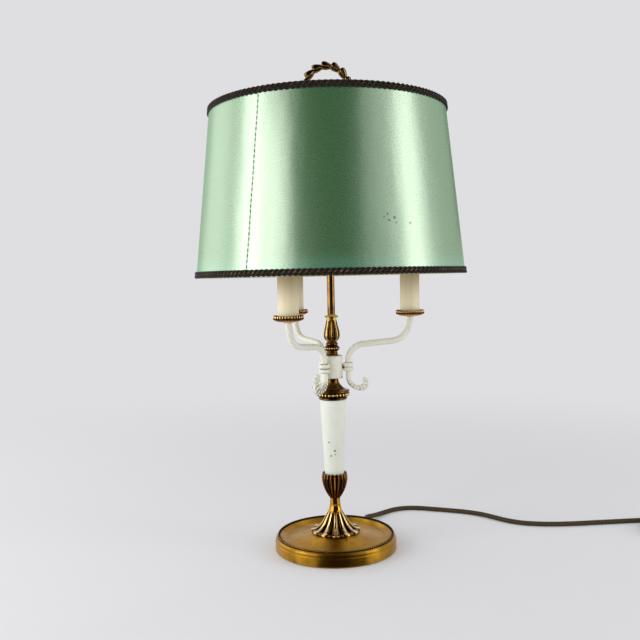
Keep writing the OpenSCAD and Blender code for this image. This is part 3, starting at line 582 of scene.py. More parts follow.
@dataclass(frozen=True)
class Brass(Finish):
    """Brass with a brown patina and painted shade in its recesses, bright worn ridges with painted
    highlights, and fine wear.
    """

    name: str
    slot: Slot
    ridge: Colour
    body: Colour
    recess: Colour
    roughness: float
    carved: bool = True
    brushed: float = 0.0
    spots: float = 0.0

    def build(self) -> Shading:
        """Colour by tone, as patina and painted shade low and painted highlights high, and cloudy patina;
        roughness by the same, and hairline wear as a bump.

        Returns:
            The nodes of the brass.
        """
        s = Shading(self.name)
        where = s.place()
        cloud = s.noise(where, scale=55, detail=4)
        fine = s.noise(where, scale=420, detail=3)
        if self.carved:
            # Low tone is patina and painted shade in recesses; high tone is a painted highlight on ridges.
            level = s.maths("ADD", s.tone(), s.maths("MULTIPLY", s.maths("SUBTRACT", cloud, 0.5), 0.35))
            colour = s.mix(s.ranged(level, 0.12, 0.6), self.recess, self.body)
            colour = s.mix(s.ranged(level, 0.62, 1.0), colour, self.ridge)
        else:
            colour = s.mix(s.ranged(cloud, 0.3, 0.72), self.body, self.ridge)
        stain = s.ranged(s.noise(where, scale=130, detail=2), 0.62 - 0.1 * self.spots, 0.8)
        colour = s.mix(s.maths("MULTIPLY", stain, self.spots), colour, self.recess)
        rough = s.ranged(fine, 0.25, 0.75, self.roughness * 0.9, self.roughness * 1.1)
        rough = s.maths("ADD", rough, s.maths("MULTIPLY", stain, 0.15 * self.spots))
        s.set(Base_Color=colour, Metallic=1.0, Roughness=rough)
        if self.brushed:
            lines = s.noise(s.turned_lines(where), scale=1500, detail=4, rough=0.7)
            s.set(Base_Color=s.mix(s.ranged(lines, 0.35, 0.65, 0.0, 0.22), colour, self.recess))
            s.set(Normal=s.bump(lines, 0.012 * self.brushed), Anisotropic=0.95, Anisotropic_Rotation=0.25)
            s.set(Tangent=s.tangent())
        else:
            s.set(Normal=s.bump(s.noise(where, scale=900, detail=2), 0.015))
        return s


@dataclass(frozen=True)
class Lacquer(Finish):
    """Cream-white lacquer with grey-green soiling and painted shade in its recesses, faint mottling and
    chips.
    """

    name: str = "cream_lacquer"
    slot: Slot = Slot.CREAM
    coat: Colour = paint(238, 237, 223)
    shade: Colour = paint(229, 228, 210)
    dirt_and_shade: Colour = paint(142, 138, 108)
    chip: Colour = paint(52, 38, 22)
    grime_and_shade: float = 0.4
    chips: tuple[Spot, ...] = ()

    def build(self) -> Shading:
        """Coat colour mottled by noise, soiling and painted shade where tone is low, and chips at named
        points.

        Returns:
            The nodes of the lacquer.
        """
        s = Shading(self.name)
        where = s.place()
        cloud = s.noise(where, scale=38, detail=4)
        colour = s.mix(s.ranged(cloud, 0.35, 0.7), self.coat, self.shade)
        worn = s.ranged(s.noise(where, scale=210, detail=4), 0.35, 0.75)
        # Soiling and painted shade: low tone darkens towards the grey-green recess colour.
        low = s.ranged(s.tone(), 0.75, 0.05)
        soiled_and_shaded = s.maths("MULTIPLY", low, s.maths("ADD", s.maths("MULTIPLY", worn, 0.6), self.grime_and_shade))
        colour = s.mix(s.maths("MINIMUM", soiled_and_shaded, 1.0), colour, self.dirt_and_shade)
        fleck = s.ranged(s.noise(where, scale=620, detail=2), 0.7, 0.78, 0.0, 0.5)
        colour = s.mix(s.maths("MULTIPLY", fleck, low), colour, self.dirt_and_shade)
        wobble = s.ragged(where, 900, 0.9)
        chipped: Socket | float = 0.0
        for spot in self.chips:
            chipped = s.maths("MAXIMUM", s.near(wobble, spot), chipped)
        colour = s.mix(chipped, colour, self.chip) if self.chips else colour
        s.set(Base_Color=colour, Roughness=s.ranged(cloud, 0.3, 0.7, 0.34, 0.46), Specular_IOR_Level=0.5)
        normal = s.bump(s.noise(where, scale=160, detail=3), 0.05)
        s.set(Normal=s.bump(s.noise(where, scale=1100, detail=2), 0.015, normal))
        return s


@dataclass(frozen=True)
class ShadeSatin(Finish):
    """Green satin with a pale lustre, a fine weave, soft waves and a few smudges."""

    low_z: float
    name: str = "shade_satin"
    slot: Slot = Slot.SHADE_SATIN
    satin: Colour = (0.026, 0.155, 0.042)
    edge: Colour = (0.05, 0.27, 0.14)
    smudge: Colour = (0.02, 0.05, 0.02)
    lustre: Colour = (0.85, 0.98, 0.78)
    smudges: tuple[Spot, ...] = ()

    def build(self) -> Shading:
        """Dark green under a strong pale lustre, mint along the bottom edge, and a weave bump.

        Returns:
            The nodes of the satin.
        """
        s = Shading(self.name)
        where = s.place()
        rise = s.ranged(s.axis(where, "Z"), (self.low_z + 6) * MM, (self.low_z + 30) * MM)
        cloud = s.noise(s.stretched(where, (1, 1, 0.35)), scale=14, detail=3)
        green = s.mix(rise, self.edge, self.satin)
        green = s.mix(s.ranged(cloud, 0.45, 0.75, 0.0, 0.25), green, self.edge)
        stain: Socket | float = 0.0
        for spot in self.smudges:
            stain = s.maths("MAXIMUM", s.near(s.ragged(where, 260, 2.4), spot), stain)
        weave = s.noise(s.uv(1500, 260), scale=1.0, detail=2, rough=0.6)
        rough = s.ranged(weave, 0.3, 0.7, 0.25, 0.33)
        if self.smudges:
            green = s.mix(stain, green, self.smudge)
            rough = s.maths("ADD", rough, s.maths("MULTIPLY", stain, 0.5))
        s.set(Base_Color=green, Roughness=rough)
        s.set(IOR=2.6, Specular_IOR_Level=1.0, Specular_Tint=self.lustre, Anisotropic=0.3)
        s.set(Tangent=s.tangent())
        normal = s.bump(weave, 0.035)
        s.set(Normal=s.bump(s.noise(s.stretched(where, (1, 1, 0.3)), scale=22, detail=2), 0.8, normal))
        return s


@dataclass(frozen=True)
class Thread(Finish):
    """Twisted thread: two colours by tone, with a slanting twist along the piece's own UV."""

    name: str
    slot: Slot
    dark: Colour
    light: Colour
    twists: float
    strands: float = 2.0
    roughness: float = 0.75

    def build(self) -> Shading:
        """Colour by tone with noise, and the twist as bands of u and v, lighter on their crests.

        Returns:
            The nodes of the thread.
        """
        s = Shading(self.name)
        where = s.place()
        flat = s.uv(self.strands, self.twists)
        slant = s.maths("ADD", s.axis(flat, "X"), s.axis(flat, "Y"))
        crest = s.maths("ABSOLUTE", s.maths("SINE", s.maths("MULTIPLY", slant, math.pi)))
        colour = s.mix(s.ranged(s.tone(), 0.2, 0.8), self.dark, self.light)
        fuzz = s.ranged(s.noise(where, scale=900, detail=3), 0.3, 0.7, 0.55, 1.0)
        shadow = s.maths("MULTIPLY", fuzz, s.ranged(crest, 0.0, 0.7, 0.5, 1.0))
        colour = s.mix(shadow, tuple(0.3 * c for c in self.dark), colour)
        s.set(Base_Color=colour, Roughness=self.roughness, Specular_IOR_Level=0.25)
        s.set(Normal=s.bump(crest, 0.25, s.bump(s.noise(where, scale=1500, detail=2), 0.06)))
        return s


@dataclass(frozen=True)
class Card(Finish):
    """Coated card sleeve, browner towards its top from heat and from painted shade under the lampshade,
    with faint runs.
    """

    low_z: float
    name: str = "card_sleeve"
    slot: Slot = Slot.CARD
    body: Colour = paint(242, 229, 190)
    scorched_and_shaded: Colour = paint(150, 120, 68)

    def build(self) -> Shading:
        """Colour by height with streaks that run down, on a satin coat.

        Returns:
            The nodes of the card.
        """
        s = Shading(self.name)
        where = s.place()
        # Browner towards the top: heat browning and painted shade under the lampshade.
        height = s.ranged(s.axis(where, "Z"), (self.low_z + 14) * MM, (self.low_z + 66) * MM, 0.0, 0.9)
        streak = s.noise(s.stretched(where, (1, 1, 0.08)), scale=190, detail=3)
        share = s.maths("ADD", height, s.ranged(streak, 0.3, 0.75, -0.03, 0.07))
        s.set(Base_Color=s.mix(share, self.body, self.scorched_and_shaded), Roughness=0.48, Subsurface_Weight=0.05)
        s.set(Normal=s.bump(streak, 0.06, s.bump(s.noise(where, scale=700, detail=2), 0.02)))
        return s


@dataclass(frozen=True)
class Plain(Finish):
    """A material of one colour with cloudy variation and a grain."""

    name: str
    slot: Slot
    body: Colour
    other: Colour
    roughness: float
    metallic: float = 0.0
    grain: float = 300.0
    depth: float = 0.05
    sheen: float = 0.0

    def build(self) -> Shading:
        """Two close colours mixed by noise, and a grain bump.

        Returns:
            The nodes of the plain material.
        """
        s = Shading(self.name)
        where = s.place()
        cloud = s.noise(where, scale=self.grain * 0.25, detail=4)
        s.set(Base_Color=s.mix(s.ranged(cloud, 0.3, 0.7), self.body, self.other), Metallic=self.metallic)
        s.set(Roughness=s.ranged(cloud, 0.3, 0.7, self.roughness * 0.85, self.roughness * 1.1))
        fine = s.noise(where, scale=self.grain, detail=3)
        s.set(Sheen_Weight=self.sheen, Normal=s.bump(fine, self.depth))
        return s


@dataclass(frozen=True)
class FrostedGlass(Finish):
    """Frosted bulb glass."""

    name: str = "frosted_glass"
    slot: Slot = Slot.GLASS

    def build(self) -> Shading:
        """White glass that passes half of the light, blurred.

        Returns:
            The nodes of the glass.
        """
        s = Shading(self.name)
        haze = s.noise(s.place(), scale=160, detail=3)
        s.set(Base_Color=s.mix(haze, paint(250, 249, 244), paint(240, 238, 228)), Transmission_Weight=0.45)
        s.set(Roughness=s.ranged(haze, 0.3, 0.7, 0.3, 0.4), IOR=1.46)
        s.set(Normal=s.bump(s.noise(s.place(), scale=1400, detail=2), 0.01))
        return s


SATIN_BRASS = Brass(
    "satin_brass", Slot.SATIN_BRASS, ridge=paint(204, 156, 52), body=paint(178, 128, 34),
    recess=paint(96, 60, 14), roughness=0.38, carved=False, brushed=1.0, spots=0.12,
)
PLAIN_BRASS = Brass(
    "plain_brass", Slot.SATIN_BRASS, ridge=paint(208, 160, 78), body=paint(176, 126, 54),
    recess=paint(84, 52, 18), roughness=0.2, carved=False, spots=0.25,
)
# Darker than the other brass: tarnish and painted dark reflection along the rod.
ROD_BRASS = Brass(
    "rod_brass", Slot.SATIN_BRASS, ridge=paint(156, 120, 66), body=paint(100, 70, 38),
    recess=paint(46, 28, 16), roughness=0.12, carved=False, spots=0.4,
)
NECK_BRASS = Brass(
    "neck_brass", Slot.AGED_BRASS, ridge=paint(214, 160, 58), body=paint(180, 122, 36),
    recess=paint(84, 48, 14), roughness=0.09, carved=False, spots=0.2,
)
CARVED_BRASS = Brass(
    "carved_brass", Slot.AGED_BRASS, ridge=paint(252, 220, 144), body=paint(110, 76, 34),
    recess=paint(12, 7, 3), roughness=0.1,
)
BROWN_BRASS = Brass(
    "brown_brass", Slot.AGED_BRASS, ridge=paint(250, 212, 128), body=paint(108, 74, 30),
    recess=paint(18, 9, 3), roughness=0.12,
)
CUP_BRASS = Brass(
    "cup_brass", Slot.AGED_BRASS, ridge=paint(206, 154, 70), body=paint(116, 70, 24),
    recess=paint(62, 34, 12), roughness=0.2,
)
BEAD_BRASS = Brass(
    "bead_brass", Slot.AGED_BRASS, ridge=paint(246, 206, 120), body=paint(156, 106, 40),
    recess=paint(34, 18, 6), roughness=0.2,
)
PAN_BRASS = Brass(
    "pan_brass", Slot.AGED_BRASS, ridge=paint(252, 208, 134), body=paint(128, 72, 32),
    recess=paint(20, 9, 4), roughness=0.2,
)
WREATH_BRASS = Brass(
    "wreath_brass", Slot.AGED_BRASS, ridge=paint(196, 162, 100), body=paint(120, 88, 48),
    recess=paint(48, 34, 18), roughness=0.26,
)
COLUMN_CHIPS = (
    (-6.7, -13.4, 142.9, 1.3), (1.1, -14.4, 131.8, 1.5),
    (-4.2, -13.4, 125.1, 1.3), (1.4, -14.1, 127.1, 1.0),
)
CREAM = Lacquer()
# Front left arm: more soiling and painted shade in its recesses.
SOILED_SHADED_CREAM = Lacquer("soiled_shaded_cream", grime_and_shade=0.95, dirt_and_shade=paint(112, 116, 96))
COLUMN_CREAM = Lacquer(
    "column_cream", coat=paint(232, 235, 222), shade=paint(224, 228, 214), grime_and_shade=0.0, chips=COLUMN_CHIPS,
)
HUB_CREAM = Lacquer("hub_cream", grime_and_shade=0.6, chips=((12.3, -5.4, 226.3, 2.6),))
SMUDGES = (
    (60.4, -155.8, 423.0, 1.6), (64.3, -154.3, 427.0, 2.2), (66.0, -153.8, 419.5, 1.8),
    (72.6, -151.1, 422.5, 2.6), (73.8, -150.6, 417.3, 1.4), (90.6, -141.4, 416.6, 1.7),
    (83.0, -144.5, 441.0, 1.1), (-92.0, -141.9, 417.5, 1.6),
)
FELT = Plain("felt", Slot.FELT, paint(46, 62, 38), paint(34, 48, 28), 0.95, grain=900, depth=0.2, sheen=0.4)
IRON = Plain("cast_iron", Slot.IRON, paint(70, 70, 70), paint(48, 46, 44), 0.7, 0.8, grain=420, depth=0.25)
STEEL = Plain("steel", Slot.STEEL, paint(190, 188, 180), paint(160, 156, 146), 0.32, 1.0)
CAP_METAL = Plain("cap_metal", Slot.CAP_METAL, paint(214, 214, 208), paint(192, 190, 184), 0.25, 1.0)
HOLDER = Plain("holder", Slot.HOLDER, paint(236, 232, 216), paint(226, 220, 200), 0.35)
WIRE = Plain("wire", Slot.WIRE, paint(206, 170, 96), paint(176, 136, 70), 0.3, 1.0)
MOULDING = Plain(
    "moulding", Slot.MOULDING, paint(40, 29, 22), paint(52, 38, 28), 0.42, grain=1500, depth=0.02,
)
LEAD = Plain("lead", Slot.LEAD, paint(92, 76, 46), paint(76, 62, 38), 0.6)
LINING = Plain(
    "shade_lining", Slot.SHADE_SATIN, paint(224, 222, 206), paint(219, 217, 200), 0.7,
    grain=900, depth=0.02,
)
GLASS = FrostedGlass()
BRAID = Thread("braid_thread", Slot.BRAID, paint(46, 35, 22), paint(160, 134, 96), 1500, 3, 0.65)
SEAM_THREAD = Thread("seam_thread", Slot.BRAID, paint(44, 44, 38), paint(70, 68, 60), 12, 2, 0.7)
FLEX = Thread("flex", Slot.CORD, paint(46, 36, 20), paint(86, 70, 42), 900, 3, 0.7)


# ---- Pieces ----


def mesh_of(name: str, skin: Skin, crease: float) -> bpy.types.Mesh:
    """Makes a mesh of a skin, with its poles merged, its faces pointing out and soft shading.

    Args:
        name: The mesh's name.
        skin: Its surface, in millimetres.
        crease: Angle in degrees past which an edge stays sharp.

    Returns:
        The mesh, in metres, with the UV map Surface and the attribute tone.
    """
    mesh = bpy.data.meshes.new(name)
    mesh.from_pydata(skin.points * MM, [], skin.quads)
    mesh.uv_layers.new(name=UV_NAME).data.foreach_set("uv", skin.uv.astype(np.float32).ravel())
    tones = mesh.attributes.new(TONE_NAME, "FLOAT", "POINT")
    tones.data.foreach_set("value", skin.tone.astype(np.float32))
    work = bmesh.new()
    work.from_mesh(mesh)
    bmesh.ops.remove_doubles(work, verts=work.verts, dist=MERGE_M)
    bmesh.ops.recalc_face_normals(work, faces=work.faces)
    work.to_mesh(mesh)
    work.free()
    mesh.polygons.foreach_set("use_smooth", np.ones(len(mesh.polygons), bool))
    mesh.set_sharp_from_angle(angle=math.radians(crease))
    return mesh


def shown(name: str, data: bpy.types.ID) -> bpy.types.Object:
    """Makes an object of a mesh, light or camera and links it to the scene.

    Args:
        name: The object's name.
        data: What it shows.

    Returns:
        The object, at the origin.
    """
    made = bpy.data.objects.new(name, data)
    bpy.context.scene.collection.objects.link(made)
    return made


def make_piece(
    name: str, skin: Skin, finish: Finish, nodes: Iterable[str] = (), body: Body = Body.STAND,
    crease: float = 38.0,
) -> bpy.types.Object:
    """Makes the object of a piece.

    Args:
        name: The piece's name.
        skin: Its surface, in millimetres.
        finish: What it is made of.
        nodes: Nodes of the model that it stands for.
        body: The body that it rides on.
        crease: Angle in degrees past which an edge stays sharp.

    Returns:
        The object, at the origin.
    """
    mesh = mesh_of(name, skin, crease)
    mesh.materials.append(finish.material())
    made = shown(name, mesh)
    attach(made, body.value)
    if nodes:
        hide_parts(*nodes)
    LOG.info("%s: %d faces in %s", name, len(mesh.polygons), finish.name)
    return made


def dress(finish: Finish, *nodes: str) -> None:
    """Gives nodes of the model a finish.

    Args:
        finish: What they are made of.
        nodes: Names of the nodes.
    """
    for name in nodes:
        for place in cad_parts[name].material_slots:
            place.material = finish.material()
        LOG.info("%s: model's own shape in %s", name, finish.name)


class Side(Enum):
    """The three arms, by their angle round the rod in degrees."""

    RIGHT = 0
    BACK_LEFT = 120
    FRONT_LEFT = -120

    @property
    def label(self) -> str:
        """The name that the model's nodes end in."""
        return self.name.lower()


@dataclass
class Base:
    """Felt, ballast and the spun dish with its wire of beads."""

    radius: float = 80.0
    band: float = 12.0
    bead_ring: float = 75.3
    bead_z: float = 19.0
    bead: float = 1.61
    bead_gap: float = 0.1
    core_gap: float = 0.5
    beads: int = 144
    cone_edge: float = 66.0
    cone_z: float = 14.0
    top_z: float = 22.2
    seat: float = 24.0
    bore: float = 5.3
    sheet: float = 1.2

    def profile(self) -> Array:
        """Closed line of the sheet: up the skirt, over the moulding and the cone, and back inside.

        Returns:
            (n, 2) of radius and height.
        """
        r, b, g, z = self.radius, self.band, self.bead_ring, self.band + 5.8
        edge, cone, seat, top, sheet = self.cone_edge, self.cone_z, self.seat, self.top_z, self.sheet
        return np.array([
            [r - 0.4, 0.5], [r, 1.1], [r, b - 0.4], [r - 0.5, b], [r - 1.3, b + 0.5], [r - 0.9, b + 1.6],
            [r - 0.8, b + 3], [r - 1.3, b + 4.4], [r - 2.4, b + 5.4], [g + 1.5, z], [g + 0.8, z - 0.3],
            [g, z - 0.46], [g - 0.8, z - 0.3], [g - 1.3, z], [g - 1.8, z], [g - 3.4, b + 4.4],
            [g - 5.6, b + 2.8], [edge, cone], [seat, top], [self.bore, top], [self.bore, top - sheet],
            [seat, top - sheet], [edge, cone - sheet], [g - 6, b + 1.6], [g - 3.4, b + 3.2],
            [g + 0.6, b + 4.6], [r - 2.6, b + 3.4], [r - 2.4, b - 0.4], [r - sheet, b - 1.4],
            [r - sheet, 0.5]])

    def build(self) -> None:
        """Makes the dish and the beads, and dresses the felt, the ballast and what holds them."""
        dish = turned(softened(self.profile(), 0.5, closed=True), 256, ring_v=True)
        make_piece("base_dish_spun", dish, SATIN_BRASS, ("base_dish",))
        row = bead_row(
            self.beads, self.bead_ring, self.bead_z, self.bead - self.bead_gap,
            sides=10, rows=8, lean=40.0, fall=8.0,
        )
        wire = hoop(self.bead_ring, self.bead_z, self.bead - self.core_gap, sides=288, round_steps=6)
        # Painted shade: the wire between the beads is painted dark.
        wire.tone[:] = 0.0
        make_piece("base_bead_wire", Skin.joined([row, wire]), BEAD_BRASS, ("base_beads",))
        dress(FELT, "base_felt")
        dress(IRON, "base_weight")
        dress(STEEL, "tube_washers", "tie_tube")
        dress(PLAIN_BRASS, "tube_nuts")
        dress(LEAD, "inner_lead")


def lobed(rows: Array, lobes: int, per: int, drop: Array, lift: Array | float = 0.0) -> Skin:
    """A ring-shaped solid whose radius falls in the grooves between lobes.

    Row i at column angle a has radius r_i - d_i drop(a) and height z_i + l_i lift(a).

    Args:
        rows: (n, 4) of radius, height, groove depth d and lift weight l, a closed line.
        lobes: Number of lobes.
        per: Columns in each.
        drop: (lobes * per,) share of the depth at each column.
        lift: (lobes * per,) raise at each column, in millimetres.

    Returns:
        The skin, whose tone is 1 on the ridges and falls to 0 in grooves of 0.3 of the deepest or more.
    """
    depth = rows[:, 2:3] * drop[None]
    tone = 1 - np.minimum(rows[:, 2:3] / (0.3 * rows[:, 2].max()), 1) * drop[None]
    radius = rows[:, :1] - depth
    height = rows[:, 1:2] + rows[:, 3:4] * np.broadcast_to(lift, (lobes * per,))[None]
    return around(radius, height, tone, ring_v=True)


@dataclass
class Stem:
    """Leafed foot, neck, fluted cup and white column."""

    foot_z: float = 22.2
    foot_h: float = 26.3
    foot_r: float = 32.6
    foot_in: float = 9.4
    petals: int = 12
    neck_z: float = 48.5
    cup_z: float = 67.0
    cup_h: float = 32.5
    cup_r: float = 16.9
    flutes: int = 20
    column_z: float = 96.0
    column_top: float = 198.0
    column_foot_r: float = 12.6
    column_top_r: float = 17.8
    bore: float = 5.3

    def calyx(self) -> Skin:
        """Domed petals with curled tips over a ring of small tips that show between them.

        Across a petal the radius falls by depth times 1 - cos(pi s / 2)^0.75, for s from 0 on its
        ridge to 1 in the groove, and the tips curl up by (1 - s^2) times their weight.

        Returns:
            The skin of both rings.
        """
        per, z = 16, self.foot_z
        angles = round_angles(self.petals * per)
        out, up, depth, curl = np.array([
            [0.60, 0.0, 0.4, 0], [0.84, -0.02, 2.4, 0.0], [0.94, -0.034, 3.2, 0.2],
            [0.99, -0.026, 3.8, 0.6], [1.012, 0.008, 4.8, 1.0], [0.985, 0.056, 4.6, 0.9],
            [0.88, 0.092, 4.4, 0.4], [0.73, 0.15, 4.2, 0.0], [0.50, 0.319, 3.8, 0],
            [0.33, 0.525, 3.0, 0], [0.18, 0.753, 2.1, 0], [0.069, 0.928, 1.2, 0]]).T
        flare = self.foot_r - self.foot_in
        rows = np.stack([self.foot_in + flare * out, z + self.foot_h * up, depth, curl * 1.3], 1)
        low = [[self.bore, z, 0, 0], [20.0, z, 0, 0]]
        top = [[self.foot_in, self.neck_z, 0.2, 0], [self.bore, self.neck_z, 0, 0]]
        rows = np.concatenate([low, spline(rows, 4), top])
        s = from_ridge(angles, self.petals)
        main = lobed(rows, self.petals, per, 1 - np.cos(s * math.pi / 2) ** 0.75, 1 - s * s)
        # Darker grooves between the petals: patina and painted shade.
        main.tone[:] = main.tone**2.2
        under = np.array([
            [21, z, 0, 0], [28, z - 0.3, 1.2, 0], [30.6, z - 0.2, 2.4, 0.4], [31.4, z + 0.7, 2.8, 0.8],
            [30.4, z + 1.7, 2.6, 0.5], [27, z + 2.6, 1.8, 0], [21, z + 3.0, 0, 0]])
        t = from_ridge(angles, self.petals, 0.5)
        second = lobed(spline(under, 3), self.petals, per, 1 - np.cos(t * math.pi / 2) ** 0.6, 1 - t)
        # Painted shade: the small tips under the petals stay dark.
        second.tone[:] = 0.1 + 0.6 * second.tone**2
        return Skin.joined([main, second])

    def neck(self) -> Skin:
        """Ring, then a waist whose radius is 6.6 plus 1.7 times the square of what is left to the cup.

        Returns:
            The neck's skin.
        """
        z, t = self.neck_z, np.linspace(0, 1, 16)
        waist = np.stack([6.6 + 1.7 * (1 - t) ** 2, z + 2.6 + t * 14.9], 1)
        ring = [[self.bore, z], [9.0, z], [9.3, z + 0.3], [9.4, z + 0.8], [9.1, z + 1.4], [8.5, z + 1.9]]
        cap = [[7.0, self.cup_z - 0.6], [7.0, self.cup_z], [self.bore, self.cup_z]]
        return turned(np.concatenate([ring, waist, cap]), 96, ring_v=True)

    def cup(self) -> Skin:
        """Flutes between thin ridges, with a pointed tip over each flute.

        The groove's share is 1 - exp(-(s / 0.34)^2) for s from 0 on a ridge to 1 mid-flute.

        Returns:
            The cup's skin, with an even, darker tone inside: painted shade.
        """
        per = 12
        s = from_ridge(round_angles(self.flutes * per), self.flutes)
        z, h, r, rim = self.cup_z, self.cup_h, self.cup_r, self.cup_z + self.cup_h
        outside = spline([
            [6.8, z, 0.1, 0], [r - 8, z + 0.08 * h, 0.5, 0], [r - 4.9, z + 0.24 * h, 1.0, 0],
            [r - 2.3, z + 0.42 * h, 1.2, 0], [r - 0.5, z + 0.62 * h, 1.3, 0],
            [r + 0.1, z + 0.80 * h, 1.2, 0], [r - 0.3, rim - 2.4, 0.9, 0.2],
            [r - 0.5, rim - 0.6, 0.4, 1.0], [r - 1.1, rim, 0.2, 1.3]], 4)
        inside = [
            [r - 2.0, rim - 0.6, 0.1, 1.0], [14.2, rim - 1.4, 0, 0.2], [12.95, self.column_z + 0.4, 0, 0],
            [12.9, self.column_z, 0, 0], [self.bore, self.column_z, 0, 0], [self.bore, z, 0, 0]]
        rows = np.concatenate([outside, inside])
        made = lobed(rows, self.flutes, per, 1 - np.exp(-((s / 0.34) ** 2)), s**1.5 * 1.25)
        # Painted shade inside the cup.
        made.tone[len(outside) * self.flutes * per:] = 0.35
        return made

    def column(self) -> Skin:
        """Tapered tube with softened ends.

        Returns:
            The column's skin, with painted shade darkening its foot where it stands in the cup.
        """
        line = softened([
            [self.bore, self.column_z], [self.column_foot_r, self.column_z],
            [self.column_top_r - 0.4, self.column_top - 0.8], [self.column_top_r - 0.9, self.column_top],
            [self.bore, self.column_top]], 0.6, 5, closed=True)
        made = turned(line, 128, ring_v=True)
        # Painted shade: tone is lower inside the cup and rises over 3 mm above its rim.
        made.tone[:] = 0.72 + 0.28 * smooth_step((made.points[:, 2] - self.cup_z - self.cup_h) / 3)
        return made

    def build(self) -> None:
        """Makes the four pieces."""
        make_piece("foot_leaves", self.calyx(), CARVED_BRASS, ("foot_calyx",), crease=60)
        make_piece("stem_waist", self.neck(), NECK_BRASS, ("stem_neck",))
        make_piece("fluted_cup", self.cup(), CUP_BRASS, ("tulip_cup",), crease=60)
        make_piece("white_column", self.column(), COLUMN_CREAM, ("column",))


@dataclass
class Collar:
    """Beaded collar that carries the hub, and the hub."""

    z: float = 198.0
    radius: float = 20.2
    beads: int = 28
    hub_z: float = 226.0
    hub_top: float = 255.6
    hub_r: float = 13.4
    neck_r: float = 7.6
    bore: float = 5.3

    def collar(self) -> Skin:
        """Lower torus, bead row, upper torus and a waist that sweeps in to the hub.

        Returns:
            The collar's skin, with painted shade behind its beads.
        """
        z, r, neck = self.z, self.radius, self.neck_r
        t = np.linspace(0, 1, 22)
        rise = self.hub_z - 1.4 - z - 13.3
        line = np.concatenate([
            [[self.bore, z], [r - 3.8, z]],
            arc(r - 2.8, z + 1.5, 1.5, -80, 60, 10),
            [[r - 1.6, z + 3.4], [r - 1.0, z + 4.2], [r - 0.7, z + 5.2]],
            [[r - 0.7, z + 8.4], [r + 0.6, z + 9.1]],
            arc(r, z + 10.8, 1.8, -40, 80, 12),
            np.stack([neck + (r - 3 - neck) * (1 - t) ** 2.2, z + 13.3 + t * rise], 1),
            [[neck + 0.8, self.hub_z - 0.9], [neck + 0.8, self.hub_z], [self.bore, self.hub_z]]])
        body = turned(line, 128, ring_v=True)
        # Painted shade: the band behind the beads is painted dark.
        behind = (body.points[:, 2] > z + 3.2) & (body.points[:, 2] < z + 9.2)
        body.tone[:] = np.where(behind, 0.05, 0.58)
        bead = math.pi * r / self.beads - 0.06
        return Skin.joined([body, bead_row(self.beads, r, z + 6.8, bead, sides=12, rows=8)])

    def hub(self) -> Skin:
        """Thick white ring with rounded rims, open below.

        Returns:
            The hub's skin, darker towards its rims, where the collar and the knop meet it: soiling and
            painted shade.
        """
        z, top, r = self.hub_z, self.hub_top, self.hub_r
        line = softened([
            [r - 3.4, z], [r - 0.3, z], [r, z + 0.6], [r, top - 0.8], [r - 0.6, top], [self.bore, top],
            [self.bore, top - 3], [r - 3.4, top - 3]], 0.4, 4, closed=True)
        made = turned(line, 96, ring_v=True)
        high = made.points[:, 2]
        # Soiling and painted shade: tone falls over 2.5 mm at each rim.
        made.tone[:] = 0.35 + 0.65 * smooth_step((high - z) / 2.5) * smooth_step((top - high) / 2.5)
        return made

    def build(self) -> None:
        """Makes the collar and the hub, and dresses the nipples between hub and arms."""
        make_piece("collar_with_beads", self.collar(), BROWN_BRASS, ("beaded_collar",))
        make_piece("white_hub", self.hub(), HUB_CREAM, ("hub",))
        dress(PLAIN_BRASS, "arm_nipples")


class Walk(NamedTuple):
    """A walk in the XZ plane: distance, x, z and heading in radians at each step."""

    at: Array
    x: Array
    z: Array
    way: Array


class Sections(NamedTuple):
    """Sections along an arm: x, z and heading of each, and the u, v and tone of its points."""

    x: Array
    z: Array
    way: Array
    u: Array
    v: Array
    tone: Array


